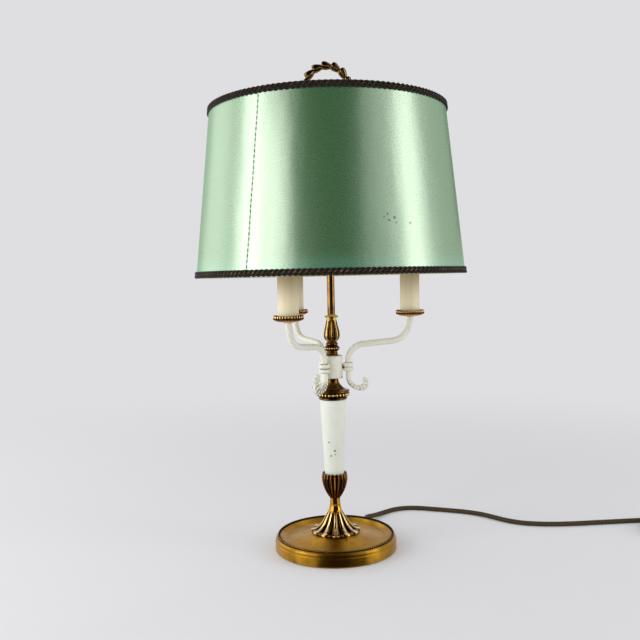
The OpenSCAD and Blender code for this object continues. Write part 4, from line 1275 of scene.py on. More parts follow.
@dataclass
class Arms:
    """Three white S arms: spiral-fluted tube, knot and curled leaf, each one skin."""

    knot_x: float = 20.9
    knot_z: float = 240.5
    knot_h: float = 11.0
    knot_r: float = 7.2
    reach: float = 103.0
    radius: float = 3.9
    flutes: int = 6
    lead: float = 58.0
    sides: int = 48
    step: float = 0.9
    rise: tuple[tuple[float, float], ...] = ((7.4, 0), (32.5, -85))
    lift: tuple[tuple[float, float], ...] = ((10.5, 14), (10.1, 29), (24.6, 42), (1, 0))
    tail: tuple[tuple[float, float], ...] = ((8, 0), (23.6, 90), (11.8, 90), (7.2, 75))

    def walk(self, bends: Sequence[tuple[float, float]], x: float, z: float, heading: float) -> Walk:
        """Follows bends in the XZ plane.

        Args:
            bends: Length and turn in degrees of each.
            x: Where it starts.
            z: How high it starts.
            heading: Start direction in degrees from +X towards +Z.

        Returns:
            The walk in steps of about self.step, where each step moves on by its length in the mean of
            its two headings.
        """
        lengths, angles = np.array(bends, float).T
        ends = np.concatenate([[0], np.cumsum(lengths)])
        at = np.linspace(0, ends[-1], int(ends[-1] / self.step) + 1)
        way = np.radians(heading + np.interp(at, ends, np.concatenate([[0], np.cumsum(angles)])))
        mean, part = (way[1:] + way[:-1]) / 2, np.diff(at)
        xs = x + np.concatenate([[0], np.cumsum(part * np.cos(mean))])
        zs = z + np.concatenate([[0], np.cumsum(part * np.sin(mean))])
        return Walk(at, xs, zs, way)

    def bends(self) -> list[tuple[float, float]]:
        """The arm's bends, with the straight part between them as long as the reach needs.

        Returns:
            Length and turn in degrees of each.
        """
        first = self.walk(self.rise, self.knot_x, self.knot_z, 90)
        last = self.walk(self.lift, float(first.x[-1]), 0, math.degrees(first.way[-1]))
        gap = (self.reach - float(last.x[-1])) / math.cos(first.way[-1])
        return [*self.rise, (gap, 0), *self.lift]

    def top_z(self) -> float:
        """Height of the arm's end, under the drip pan."""
        return float(self.walk(self.bends(), self.knot_x, self.knot_z, 90).z[-1])

    def leaf(self, b: Array) -> Sections:
        """The curled leaf from its tip to the knot.

        Its half-height and half-width follow its length t. Five pairs of lobes widen its edge, veins
        slant back from a midrib on the outer side, and the relief of both is the tone, which paints shade
        into the recesses.

        Args:
            b: Angles round the section.

        Returns:
            The sections, one row for each.
        """
        at, x, z, way = self.walk(self.tail, self.knot_x, self.knot_z - self.knot_h / 2, -90)
        at, x, z, way = (a[:0:-1] for a in (at, x, z, way))
        t = at / at.max()
        high = 3.3 - 0.6 * t + 1.5 * np.sin(math.pi * np.maximum(0, t - 0.5) / 0.5) ** 2 - 0.9 * t**12
        wide = 4.1 + 1.4 * np.sin(math.pi * np.minimum(1, t * 1.05)) - 1.1 * t**10
        grown = smooth_step((t - 0.12) / 0.25) * smooth_step((1.02 - t) / 0.12)
        lobe = (t * 5.5) % 1
        wide = wide * (1 + 0.13 * grown * np.sin(math.pi * lobe))
        side, outer = np.abs(np.sin(b))[None], np.cos(b)[None]
        vein = np.sin(TAU * 11 * (t[:, None] - 0.10 * side)) * side**0.7
        rib = np.exp(-((np.sin(b)[None] / 0.22) ** 2)) * np.where(outer > 0, 1.0, 0.6)
        relief = grown[:, None] * (0.05 * vein + 0.09 * rib - 0.03)
        u, v = high[:, None] * (1 + relief) * np.cos(b), wide[:, None] * (1 + 0.6 * relief) * np.sin(b)
        tone = np.clip(0.74 + relief * 6.5, 0, 1) * (1 - 0.15 * grown[:, None])
        return Sections(x, z, way + math.pi, u, v, tone)

    def knot(self, b: Array) -> Sections:
        """Two rounded discs with a groove between.

        Args:
            b: Angles round the section.

        Returns:
            The sections, one row for each.
        """
        h, r = self.knot_h / 2, self.knot_r
        line = softened([
            [-h - 0.5, 3.6], [-h, r - 1.6], [-h + 0.5, r - 0.5], [-1.9, r - 0.5], [-1.2, r - 1.7],
            [0.1, r - 1.7], [0.9, r], [h - 1.3, r], [h - 0.2, r - 1.4], [h + 0.6, 3.9]], 0.7, 4)
        x, z = np.full(len(line), self.knot_x), self.knot_z + line[:, 0]
        ring = line[:, 1:]
        # Painted shade in the groove between the discs and on their inner faces.
        tone = 0.25 + 0.75 * smooth_step((ring - (r - 1.8)) / 1.2) * np.ones_like(b)[None]
        return Sections(x, z, np.full(len(line), math.pi / 2), ring * np.cos(b), ring * np.sin(b), tone)

    def fluted(self, b: Array) -> Sections:
        """Tube of rounded strands that wind one turn in a lead.

        For s from 0 on a strand to 1 between two, the radius is r (1.06 - 0.22 (1 - sqrt(1 - 0.92 s^2))).

        Args:
            b: Angles round the section.

        Returns:
            The sections, one row for each.
        """
        at, x, z, way = self.walk(self.bends(), self.knot_x, self.knot_z, 90)
        keep = at > self.knot_h / 2 + 0.8
        at, x, z, way = at[keep], x[keep], z[keep], way[keep]
        s = from_ridge(b[None] + TAU * at[:, None] / self.lead, self.flutes)
        fade = (smooth_step((at - 6) / 5) * smooth_step((at[-1] - at) / 3))[:, None]
        r = self.radius * (1 + fade * (0.06 - 0.22 * (1 - np.sqrt(1 - 0.92 * s * s))))
        # Tone falls between the strands: painted shade in the grooves.
        return Sections(x, z, way, r * np.cos(b), r * np.sin(b), 1 - 0.75 * fade * s**4)

    def arm(self) -> Skin:
        """Leaf, knot and tube as one skin in the XZ plane.

        Returns:
            The arm's skin, with the arm towards +X.
        """
        b = round_angles(self.sides)
        parts = zip(self.leaf(b), self.knot(b), self.fluted(b))
        x, z, way, u, v, tone = (np.concatenate(part) for part in parts)
        flat = 0 * x
        across = np.stack([-np.sin(way), flat, np.cos(way)], 1)
        along = np.stack([flat, flat - 1, flat], 1)
        return carried(np.stack([x, flat, z], 1), across, along, u, v, tone)

    def build(self) -> None:
        """Makes the three arms, the front left one with more soiling and painted shade in its recesses."""
        skin = self.arm()
        for side in Side:
            finish = SOILED_SHADED_CREAM if side is Side.FRONT_LEFT else CREAM
            name = side.label
            make_piece(f"s_arm_{name}", skin.spun(side.value), finish, (f"arm_{name}",), crease=70)


@dataclass
class Candles:
    """Drip pans, card sleeves, holders and bulbs at the ends of the arms."""

    pan_z: float
    reach: float = 103.0
    pan_r: float = 19.0
    pan_h: float = 9.0
    floor_h: float = 3.4
    beads: int = 32
    sleeve_r: float = 12.6
    sleeve_wall: float = 0.8
    sleeve_h: float = 85.0
    bulb_r: float = 17.5
    bulb_h: float = 72.0
    cap_r: float = 6.9

    @property
    def sleeve_z(self) -> float:
        """Height of the pan's floor, which the sleeve stands on."""
        return self.pan_z + self.floor_h

    def pan(self) -> Skin:
        """Bowl with a gadroon under each bead of its rim.

        The radius falls by its row's depth times 1 - sqrt(1 - 0.95 s^2), for s from 0 to 1 across a
        gadroon.

        Returns:
            The pan's skin, round Z.
        """
        ring = self.pan_r - 1.7
        bead = math.pi * ring / self.beads - 0.03
        edge = self.pan_z + self.pan_h - 2 * bead
        z, rim, floor, per = self.pan_z, self.pan_z + self.pan_h - 0.3, self.sleeve_z, 8
        s = from_ridge(round_angles(self.beads * per), self.beads)
        t = np.linspace(0, 1, 14)
        quarter = t * math.pi / 2
        foot = [
            [0, z + 0.2, 0, 0], [0.1, z, 0, 0], [5.0, z, 0, 0], [5.7, z + 0.3, 0, 0], [6.2, z + 0.9, 0, 0],
            [8, z + 1.3, 0, 0]]
        bowl = np.stack([
            10.4 + (ring + 0.6 - 10.4) * np.sin(quarter),
            z + 1.6 + (edge - z - 1.6) * (1 - np.cos(quarter)),
            2.0 * np.sin(math.pi * np.clip(t * 0.9 + 0.1, 0, 1)) ** 0.6,
            0 * t], 1)
        top = [
            [ring - 0.2, edge + 0.5, 0, 0], [ring - 0.2, rim, 0, 0], [ring - 1.1, rim, 0, 0],
            [15.6, z + 5.0, 0, 0], [14.0, z + 3.9, 0, 0], [13.1, floor, 0, 0], [0.1, floor, 0, 0],
            [0, floor, 0, 0]]
        body = lobed(np.concatenate([foot, bowl, top]), self.beads, per, 1 - np.sqrt(1 - 0.95 * s * s))
        # Painted shade: the outside darkens into its grooves, and the inside is painted nearly black.
        outside, inside = np.split(body.tone, [-len(top) * self.beads * per])
        outside[:] = 0.92 * outside**1.5
        inside[:] = 0.02
        row = bead_row(
            self.beads, ring, edge + bead - 0.7, bead - 0.25,
            sides=12, rows=10, lean=30.0, tall=2.0, fall=2.4,
        )
        return Skin.joined([body, row])

    def sleeve(self) -> Skin:
        """Open card tube with soft rims.

        Returns:
            The sleeve's skin, round Z.
        """
        z, r, w = self.sleeve_z, self.sleeve_r, self.sleeve_wall
        line = [[r - w, z], [r, z], [r, z + self.sleeve_h], [r - w, z + self.sleeve_h]]
        return turned(softened(line, 0.25, closed=True), 72, ring_v=True)

    def bulb(self) -> Skin:
        """Candle bulb that swells from its cap and closes in a soft tip.

        Below its waist the radius swells by (1 - cos) / 2, and above it is the widest times cos^0.8.

        Returns:
            The bulb's skin, round Z.
        """
        z, wide, tall, waist = self.sleeve_z + self.sleeve_h + 1.5, self.bulb_r, self.bulb_h, 0.42
        t, w = np.linspace(0, 1, 14), np.linspace(0.05, 1, 22)
        swell = self.cap_r + (wide - self.cap_r) * (1 - np.cos(math.pi * t)) / 2
        low = np.stack([swell, z + waist * tall * t], 1)
        high = np.stack([wide * np.cos(w * math.pi / 2) ** 0.8, z + tall * (waist + (1 - waist) * w)], 1)
        high[-1, 0] = 0
        return turned(np.concatenate([[[0, z]], low, high]), 48)

    def build(self) -> None:
        """Makes the three lights and dresses what is inside them."""
        pan, sleeve, bulb = self.pan(), self.sleeve(), self.bulb()
        card = Card(self.sleeve_z)
        for side in Side:
            name = side.label
            here = [skin.moved((self.reach, 0, 0)).spun(side.value) for skin in (pan, sleeve, bulb)]
            make_piece(f"pan_{name}", here[0], PAN_BRASS, (f"drip_pan_{name}",), crease=60)
            make_piece(f"sleeve_{name}", here[1], card, (f"candle_sleeve_{name}",))
            make_piece(f"bulb_{name}", here[2], GLASS, (f"bulb_glass_{name}",))
            dress(HOLDER, f"lamp_holder_{name}")
            dress(CAP_METAL, f"bulb_cap_{name}")


@dataclass
class Rod:
    """Beaded knop, leafed baluster, rod, ferrule and the wreath that the lamp is lifted by."""

    radius: float = 5.0
    knop_z: float = 255.6
    knop_h: float = 18.8
    knop_beads: int = 20
    baluster_z: float = 274.4
    baluster_h: float = 35.0
    leaves: int = 8
    dots: int = 22
    top_z: float = 563.8
    foot_z: float = 247.0
    ferrule_z: float = 553.8
    ferrule_h: float = 12.0
    ring_z: float = 602.6
    ring_r: float = 27.0
    strand_r: float = 4.9
    husks: int = 14
    lean: float = 12.0

    def knop(self) -> Skin:
        """Short neck, a ball with a row of beads round it and a small ring on top.

        Returns:
            The knop's skin, with painted shade darkest behind its beads.
        """
        r, z, h, middle = self.radius, self.knop_z, self.knop_h, self.knop_z + 0.5 * self.knop_h
        line = np.concatenate([
            [[r + 0.3, z], [r + 2.4, z], [r + 2.6, z + 0.3]],
            [[r + 2.6, z + 0.19 * h], [r + 2.0, z + 0.22 * h]],
            arc(r + 0.7, middle, 0.25 * h - 0.6, -75, 75, 18),
            arc(r + 1.1, z + 0.787 * h, 0.106 * h, -25, 60, 8),
            [[r + 1.4, self.baluster_z], [r + 0.3, self.baluster_z]]])
        ring = turned(line, 96, ring_v=True)
        # Painted shade, darkest behind the beads at the middle.
        from_middle = np.abs(ring.points[:, 2] - middle) / (0.25 * h)
        ring.tone[:] = np.clip(0.1 + 0.55 * from_middle, 0, 0.6)
        at = r + 0.25 * h - 0.5
        bead = math.pi * at / self.knop_beads - 0.03
        return Skin.joined([ring, bead_row(self.knop_beads, at, middle, bead, sides=10, rows=7)])

    def baluster(self) -> Skin:
        """Leaves with a raised midrib and two side ribs, and a dotted flange over them.

        The groove's share is 1 - cos(pi s / 2)^0.7 between leaves, plus a fine wave of three ribs a leaf.

        Returns:
            The baluster's skin.
        """
        per, r, z, h = 18, self.radius, self.baluster_z, self.baluster_h
        angles = round_angles(self.leaves * per)
        s = from_ridge(angles, self.leaves)
        fine = 0.5 - 0.5 * np.cos(angles * self.leaves * 3)
        out, up, depth = np.array([
            [2.2, 0, 0], [4.5, 0.08, 0.7], [5.4, 0.16, 1.2], [5.6, 0.24, 1.4], [5.1, 0.38, 1.4],
            [3.8, 0.52, 1.2], [2.5, 0.68, 0.8], [1.7, 0.8, 0.1], [2.5, 0.855, 0], [2.9, 0.89, 0],
            [3.2, 0.92, 0], [2.6, 0.96, 0], [2.2, 1, 0]]).T
        rows = np.stack([r + out, z + h * up, depth, 0 * depth], 1)
        inner = [[r + 0.3, rows[-1, 1], 0, 0], [r + 0.3, rows[0, 1], 0, 0]]
        share = 0.75 * (1 - np.cos(s * math.pi / 2) ** 0.7) + 0.3 * fine
        body = lobed(np.concatenate([spline(rows, 5), inner]), self.leaves, per, share)
        # Patina and painted shade deepened in the grooves between the leaves.
        body.tone[:] = np.clip(body.tone * 1.1 - 0.12, 0, 1) ** 1.6
        dots = bead_row(self.dots, r + 3.1, z + 0.92 * h, 0.85, sides=6, rows=5)
        return Skin.joined([body, dots])

    def rod(self) -> Skin:
        """Plain tube with a softened top."""
        r, low, high = self.radius, self.foot_z, self.top_z
        return turned(softened([[0, low], [r, low], [r, high], [0, high]], 0.5), 64)

    def ferrule(self) -> Skin:
        """Turned cap nut with a flange, a ball and a short neck.

        Returns:
            The ferrule's skin.
        """
        r, z, end = self.radius, self.ferrule_z, self.ferrule_z + self.ferrule_h
        low = [[r + 0.1, z], [r + 2.2, z], [r + 3.2, z + 1], [r + 3.2, z + 3], [r + 1.8, z + 4.2]]
        ball_line = arc(r + 0.6, z + 7.6, 3, -60, 60, 14)
        top = [[r + 1, end - 0.6], [r + 1, end], [0, end], [0, z + 9.6], [r + 0.1, z + 9.6]]
        return turned(np.concatenate([softened(low, 0.5), ball_line, top]), 72, ring_v=True)

    def husk(self) -> Skin:
        """One husk along Z: a narrow foot that flares to a ribbed mouth whose ribs end in points.

        The radius is the row's times 1 + 0.07 cos(7a) times its rib weight, and the rib tips reach out
        by the same wave. The table gives each row's radius, height and rib weight.

        Returns:
            The husk's skin, round Z.
        """
        length = TAU * self.ring_r / self.husks
        line = np.array([
            [0, -0.60, 0], [0.42, -0.60, 0], [0.58, -0.52, 0.2], [0.76, -0.36, 0.6], [0.92, -0.16, 0.9],
            [1.03, 0.04, 1.0], [1.08, 0.20, 1.0], [1.05, 0.34, 0.9], [0.92, 0.46, 0.7], [0.72, 0.52, 0.4],
            [0.5, 0.52, 0.1], [0.3, 0.46, 0], [0, 0.44, 0]])
        out, up, rib = (column[:, None] for column in spline(line, 2).T)
        wave = np.cos(7 * round_angles(32))[None]
        radius = np.maximum(out, 0) * self.strand_r * (1 + 0.07 * rib * wave)
        mouth = smooth_step((up - 0.2) / 0.25) * smooth_step((out - 0.5) / 0.3)
        height = up * length + 0.5 * mouth * wave
        # Painted highlights on the ribs, and painted shade on the narrow ends that sit inside the
        # neighbouring husks.
        return around(radius, height, np.clip(0.45 + 0.5 * rib * wave - 0.5 * (out < 0.6), 0, 1))

    def wreath(self) -> Skin:
        """Husks round an upright ring, each emerging from the mouth of the one before, on a small plinth.

        Returns:
            The skin of the wreath and the plinth.
        """
        angles = np.radians(-90 + 360 / self.husks * np.arange(self.husks))
        leant = angles + math.radians(self.lean)
        turns = np.zeros((self.husks, 3, 3))
        turns[:, 0, 0] = turns[:, 2, 2] = np.cos(leant)
        turns[:, 0, 2], turns[:, 2, 0] = np.sin(leant), -np.sin(leant)
        turns[:, 1, 1] = 1
        out, down = self.ring_r * np.cos(angles), self.ring_r * np.sin(angles)
        shifts = np.stack([out, 0 * angles, self.ring_z - down], 1)
        z = self.ferrule_z + self.ferrule_h
        line = [[0, z], [5.6, z], [5.3, z + 1.6], [4.5, z + 5], [4.4, z + 7], [0, z + 7]]
        plinth = turned(softened(line, 0.8), 48)
        plinth.tone[:] = 0.5
        return Skin.joined([self.husk().copies(turns, shifts), plinth])

    def build(self) -> None:
        """Makes the pieces on the rod."""
        make_piece("knop_with_beads", self.knop(), BROWN_BRASS, ("bead_knop",))
        make_piece("leafed_baluster", self.baluster(), BROWN_BRASS, ("leaf_baluster",), crease=60)
        make_piece("rod_tube", self.rod(), ROD_BRASS, ("rod",))
        make_piece("ferrule_turned", self.ferrule(), BROWN_BRASS, ("handle_ferrule",))
        make_piece("wreath_ring", self.wreath(), WREATH_BRASS, ("ring_handle",), crease=60)


@dataclass
class DrumShade:
    """Satin cover with its stitched seam, two braids and the wire frame inside."""

    bottom_r: float = 173.6
    top_r: float = 151.5
    bottom_z: float = 359.7
    height: float = 214.9
    wall: float = 0.9
    braid_w: float = 8.4
    seam_low: float = -123.2
    seam_high: float = -120.3
    lap_deg: float = 14.0
    scallop: float = 6.5
    wire: float = 1.5
    wire_gap: float = 0.4
    spoke_start: tuple[float, float, float] = (13.0, 0.0, 545.4)
    stitch: float = 5.2
    stitch_pitch: float = 6.2

    def radius(self, z: Array | float) -> Array | float:
        """Radius of the cover's outside, linear from the bottom edge to the top edge."""
        return self.bottom_r + (self.top_r - self.bottom_r) * (z - self.bottom_z) / self.height

    def seam(self, z: Array) -> Array:
        """Angle of the seam at a height, in radians."""
        share = (z - self.bottom_z) / self.height
        return np.radians(self.seam_low + (self.seam_high - self.seam_low) * share)

    def cover(self) -> list[Skin]:
        """Closed shells of the satin and of the card behind it.

        The satin swells and sinks by a quarter millimetre, and laps over at the seam by 0.45 mm, which
        falls smoothly to nothing over lap_deg.

        Returns:
            The satin and the card.
        """
        rows, cols, lap = 40, 384, 0.45
        a = round_angles(cols) - math.pi
        z = np.linspace(self.bottom_z, self.bottom_z + self.height, rows)
        past = np.degrees((a[None] - self.seam(z)[:, None] + math.pi) % TAU - math.pi)
        over = lap * smooth_step(past / 0.35 + 0.5)
        over = over * smooth_step((self.lap_deg - past) / (0.9 * self.lap_deg))
        wave = 0.16 * np.sin(3 * a + 0.6) + 0.1 * np.sin(7 * a + 2.1) + 0.05 * np.sin(16 * a)
        bulge = np.sin(np.linspace(0, math.pi, rows))[:, None]
        face = self.radius(z)[:, None] - lap + bulge * wave[None]
        height = np.concatenate([z, z[::-1]])[:, None]
        layers = [(face + over, face - 0.2), (face - 0.21, face - 0.45)]
        radii = (np.concatenate([outer, inner[::-1]]) for outer, inner in layers)
        return [grid(polar(radius, a, height), ring_v=True) for radius in radii]

    def stitches(self) -> Skin:
        """Running stitches along the seam, each a thread bowed and swollen by sin(pi t) along its length.

        Returns:
            The skin of all the stitches.
        """
        margin = 9
        starts = np.arange(self.bottom_z + margin, self.bottom_z + self.height - margin, self.stitch_pitch)
        t = np.linspace(0, 1, 6)
        z = starts[:, None] + self.stitch * t[None]
        a = self.seam(z) - 0.0012
        r = self.radius(z) + 0.02 + 0.42 * np.sin(math.pi * t)[None]
        across = np.stack([-np.sin(a), np.cos(a), 0 * a], 2)
        ring = round_angles(6)
        size = (0.36 * (0.35 + 0.65 * np.sin(math.pi * t) ** 0.5))[:, None]
        u, v = size * np.cos(ring), size * np.sin(ring)
        threads = zip(polar(r, a, z), across, polar(1.0, a, 0.0))
        return Skin.joined([carried(path, side, out, u, v, 0.1) for path, side, out in threads])

    def strand(self, number: int, waves: int, middle: float, light: float) -> Skin:
        """One of the three flat strands of a plait.

        It is at height A sin(w) and stands out by B sin(2w), where w is waves round the edge plus number
        thirds of a wave. It is lighter where it crosses the middle, unevenly by two sines round the edge,
        and has painted shade on its inward face.

        Args:
            number: Which strand, from 0.
            waves: Its waves round the shade.
            middle: Height of the plait's middle.
            light: Its greatest tone.

        Returns:
            The strand's skin.
        """
        amplitude, thick, broad = self.braid_w / 2 - 1.15, 0.75, 1.2
        a = round_angles(waves * 27)
        ring = round_angles(8)
        w = waves * a + number * TAU / 3
        z = amplitude * np.sin(w)
        lean = 0.35 * np.sin(w) / float(self.radius(middle))
        path = polar(self.radius(middle + z) + (0.75 + 0.42 * np.sin(2 * w)), a + lean, middle + z)
        way = np.roll(path, -1, 0) - np.roll(path, 1, 0)
        way /= np.linalg.norm(way, axis=1)[:, None]
        face = polar(1.0, a, 0.0)
        side = np.cross(way, face)
        side /= np.linalg.norm(side, axis=1)[:, None]
        u, v = broad * np.cos(ring), thick * np.sin(ring)
        points = path[:, None] + u[None, :, None] * side[:, None] + v[None, :, None] * face[:, None]
        crossing = np.maximum(np.cos(w), -0.5 * np.cos(w)) ** 2
        uneven = 0.72 + 0.28 * np.sin(37 * a + 2.1 * number) * np.sin(61 * a + number)
        # Painted shade: each strand is painted lighter on its outward face and dark on its inward face.
        outward_lit = 0.2 + 0.8 * np.maximum(np.sin(ring), 0) ** 2
        return grid(points, ring_v=True, tone=light * (crossing * uneven)[:, None] * outward_lit[None])

    def braid(self, low: float, light: float) -> Skin:
        """Plait of three flat strands over a backing band.

        Args:
            low: The braid's lowest height.
            light: Greatest tone of its strands.

        Returns:
            The skin of the strands and the band.
        """
        middle, width = low + self.braid_w / 2, self.braid_w
        waves = 3 * round(TAU * float(self.radius(middle)) / self.scallop / 9)
        strands = [self.strand(number, waves, middle, light) for number in range(3)]
        line = np.array([
            [0.08, 2.3], [0.4, 2.5], [0.5, width / 2], [0.4, width - 2.5], [0.08, width - 2.3],
        ])
        line = np.stack([self.radius(low + line[:, 1]) + line[:, 0], low + line[:, 1]], 1)
        backing = turned(softened(line, 0.3, closed=True), 256, tone=0.0, ring_v=True)
        return Skin.joined([*strands, backing])

    def tie_off(self) -> Skin:
        """Thread wound over the bottom braid where the seam ends.

        Returns:
            The knob's skin.
        """
        a, z = float(self.seam(np.array(self.bottom_z))), self.bottom_z + self.braid_w / 2
        knob = ball(1.0, 12, 8)
        knob.points *= (1.35, 2.6, 4.5)
        knob.tone[:] = 0.1
        angle = np.array([a])
        return knob.copies(z_turns(angle), polar(float(self.radius(z)) + 1.3, angle, z))

    def frame(self) -> tuple[Skin, Skin]:
        """Top ring with its three spokes, and the bottom ring.

        Returns:
            The skins of the upper and the lower part.
        """
        inset, raised = self.wire_gap, 0.6
        at, z = self.top_r - self.wall - self.wire - inset, self.bottom_z + self.height - self.wire - raised
        spoke = tube(np.linspace(self.spoke_start, [at, 0, z], 12), self.wire - 0.2)
        spokes = spoke.copies(z_turns(np.radians([60, 180, 300])), np.zeros((3, 3)))
        upper = Skin.joined([hoop(at, z, self.wire), spokes])
        at, z = self.bottom_r - self.wall - self.wire - inset, self.bottom_z + self.wire + raised
        return upper, hoop(at, z, self.wire)

    def build(self) -> None:
        """Makes the cover, seam, braids and wires, and dresses the slider and the key."""
        cover, lining = self.cover()
        satin = ShadeSatin(self.bottom_z, smudges=SMUDGES)
        make_piece("satin_cover", cover, satin, ("shade_cover",), Body.SHADE, crease=30)
        make_piece("card_lining", lining, LINING, (), Body.SHADE, crease=30)
        make_piece("seam_stitches", self.stitches(), SEAM_THREAD, (), Body.SHADE)
        # The top braid's strands are painted darker than the bottom's: painted shade.
        top_braid = self.braid(self.bottom_z + self.height - self.braid_w, 0.5)
        make_piece("plait_top", top_braid, BRAID, ("braid_top",), Body.SHADE, crease=60)
        bottom_braid = Skin.joined([self.braid(self.bottom_z, 0.75), self.tie_off()])
        make_piece("plait_bottom", bottom_braid, BRAID, ("braid_bottom",), Body.SHADE, crease=60)
        upper, lower = self.frame()
        make_piece("wire_top", upper, WIRE, ("shade_frame",), Body.SHADE)
        make_piece("wire_bottom", lower, WIRE, ("shade_bottom_ring",), Body.SHADE)
        dress(WIRE, "spider_hub")
        dress(PLAIN_BRASS, "slider_collar", "shade_key")


@dataclass
class MainsCord:
    """Flex that leaves the back of the base and ends in a tied coil, a rocker switch and a plug."""

    radius: float = 3.25
    outlet_deg: float = 66.0
    outlet_z: float = 7.0
    grip_end: float = 104.0
    coil_x: float = 475.0
    coil_y: float = 36.0
    coil_mid: float = 37.0
    coil_low: float = 4.05
    turns: float = 5.25
    plug_z: float = 6.85

    def floor_run(self) -> Array:
        """The listed route from the grip over the table to the coil.

        Returns:
            (n, 3) points that the cord passes.
        """
        lie = self.radius
        start = polar(self.grip_end + np.array([0, 6, 12]), math.radians(self.outlet_deg), self.outlet_z)
        return np.concatenate([start, [
            [60, 122, 4.6], [74, 139, lie], [91, 153, lie], [110, 159, lie], [130, 157, lie],
            [152, 150, lie], [175, 142, lie], [197, 133, lie], [216, 121, lie], [231, 106, lie],
            [245, 91, lie], [262, 79, lie], [283, 72, lie], [310, 69, lie], [340, 70, lie],
            [370, 73, lie], [400, 76, lie], [430, 79, lie], [450, 79.6, lie], [467, 79.5, lie]]])

    def wound(self) -> Array:
        """The coil's turns: three beside each other going in, then three on top of them going out.

        Each shift to the next place eases by (1 - cos) / 2 over nearly a quarter turn, and shifts that
        neighbouring turns share lie at the same angle, so that turns stay a diameter apart.

        Returns:
            (n, 3) points of the centreline.
        """
        pitch = 2 * self.radius
        seats = np.array([[1, 0], [0, 0], [-1, 0], [-1, 1], [0, 1], [1, 1]]) * pitch
        first = np.array([258, 618, 897, 1170, 1530])
        last = np.array([345, 705, 978, 1257, 1617])
        q = np.arange(6, self.turns * 360 + 1, 4.0)
        share = 0.5 - 0.5 * np.cos(math.pi * np.clip((q[:, None] - first) / (last - first), 0, 1))
        seat = seats[0] + (share[..., None] * np.diff(seats, axis=0)).sum(1)
        angle, reach = np.radians(90 - q), self.coil_mid + seat[:, 0]
        high = self.coil_low + seat[:, 1] - 0.8 * (1 - smooth_step(q / 40))
        return np.stack([self.coil_x + reach * np.cos(angle), self.coil_y + reach * np.sin(angle), high], 1)

    def tail(self, x: float) -> Array:
        """From the coil through the switch, low under its rocker, to the plug.

        Args:
            x: Where the coil lets go of the cord.

        Returns:
            (n, 3) points that the cord passes.
        """
        return np.array([
            [x, 30, 10.5], [x, 20, 10.2], [x, 8, 9.6], [x, -4, 9.1], [x, -12, 8.7], [x, -20, 7.2],
            [x, -28, 5.7], [x, -36, 5.3], [x, -44, 5.5], [x, -52, 6.7], [x, -60, 8.4], [x, -68, 8.9],
            [x, -76, 8.6], [x, -86, 7.4], [x, -94, self.plug_z], [x, -100, self.plug_z]])

    def path(self) -> Array:
        """The cord's whole centreline.

        Returns:
            (n, 3) points of the centreline.
        """
        coil = self.wound()
        parts = [spline(self.floor_run(), 4), coil, spline(self.tail(coil[-1, 0]), 4)]
        return np.concatenate(parts)

    def build(self) -> None:
        path = self.path()
        skin = tube(path, self.radius)
        skin.tone[:] = 0.75
        cord = make_piece("cord", skin, FLEX, ("cord_run", "cord_coil", "cord_tail"))
        moulded = ("coil_tie", "switch_lower", "switch_upper", "switch_rocker", "plug_body")
        metal = ("switch_screws", "plug_pins")
        dress(MOULDING, "cord_grip", *moulded)
        dress(STEEL, *metal)


# ---- Studio ----


@dataclass(frozen=True)
class StudioCamera:
    """Camera a metre in front of the lamp, looking slightly down."""

    distance: float = 1023.441
    height: float = 356.035
    offset: float = -1.83
    pitch: float = 0.0525
    yaw: float = -0.0128
    roll: float = 0.0216
    focal_px: float = 782.493
    image_px: float = 640.0
    sensor: float = 36.0

    def place(self) -> None:
        """Makes the camera and looks through it."""
        ahead, down = math.cos(self.pitch), -math.sin(self.pitch)
        forward = np.array([math.sin(self.yaw) * ahead, math.cos(self.yaw) * ahead, down])
        level = np.array([math.cos(self.yaw), -math.sin(self.yaw), 0])
        above = np.cross(level, forward)
        right = math.cos(self.roll) * level - math.sin(self.roll) * above
        up = math.sin(self.roll) * level + math.cos(self.roll) * above
        data = bpy.data.cameras.new("camera")
        data.sensor_width = self.sensor
        data.lens = self.focal_px * self.sensor / self.image_px
        camera = shown("camera", data)
        spot = np.array([self.offset, -self.distance, self.height]) * MM
        pose = np.eye(4)
        pose[:3, 0], pose[:3, 1], pose[:3, 2], pose[:3, 3] = right, up, -forward, spot
        camera.matrix_world = Matrix(pose.tolist())
        bpy.context.scene.camera = camera


@dataclass(frozen=True)
class Softbox:
    """Tall soft light at an angle from the camera's side of the lamp, clockwise seen from above."""

    name: str
    azimuth: float
    width: float
    height: float
    strength: float
    distance: float = 1500.0
    middle_z: float = 520.0

    def place(self) -> None:
        """Makes the light, turned to the lamp."""
        data = bpy.data.lights.new(self.name, "AREA")
        data.shape = "RECTANGLE"
        data.size, data.size_y = self.width * MM, self.height * MM
        data.energy = self.strength * math.pi * data.size * data.size_y
        light = shown(self.name, data)
        a = math.radians(self.azimuth)
        away = np.array([math.sin(a), -math.cos(a), 0.0])
        across = np.array([math.cos(a), math.sin(a), 0.0])
        pose = np.eye(4)
        pose[:3, 0], pose[:3, 1], pose[:3, 2] = across, (0, 0, 1), away
        pose[:3, 3] = (away * self.distance + (0, 0, self.middle_z)) * MM
        light.matrix_world = Matrix(pose.tolist())
        light.visible_camera = False


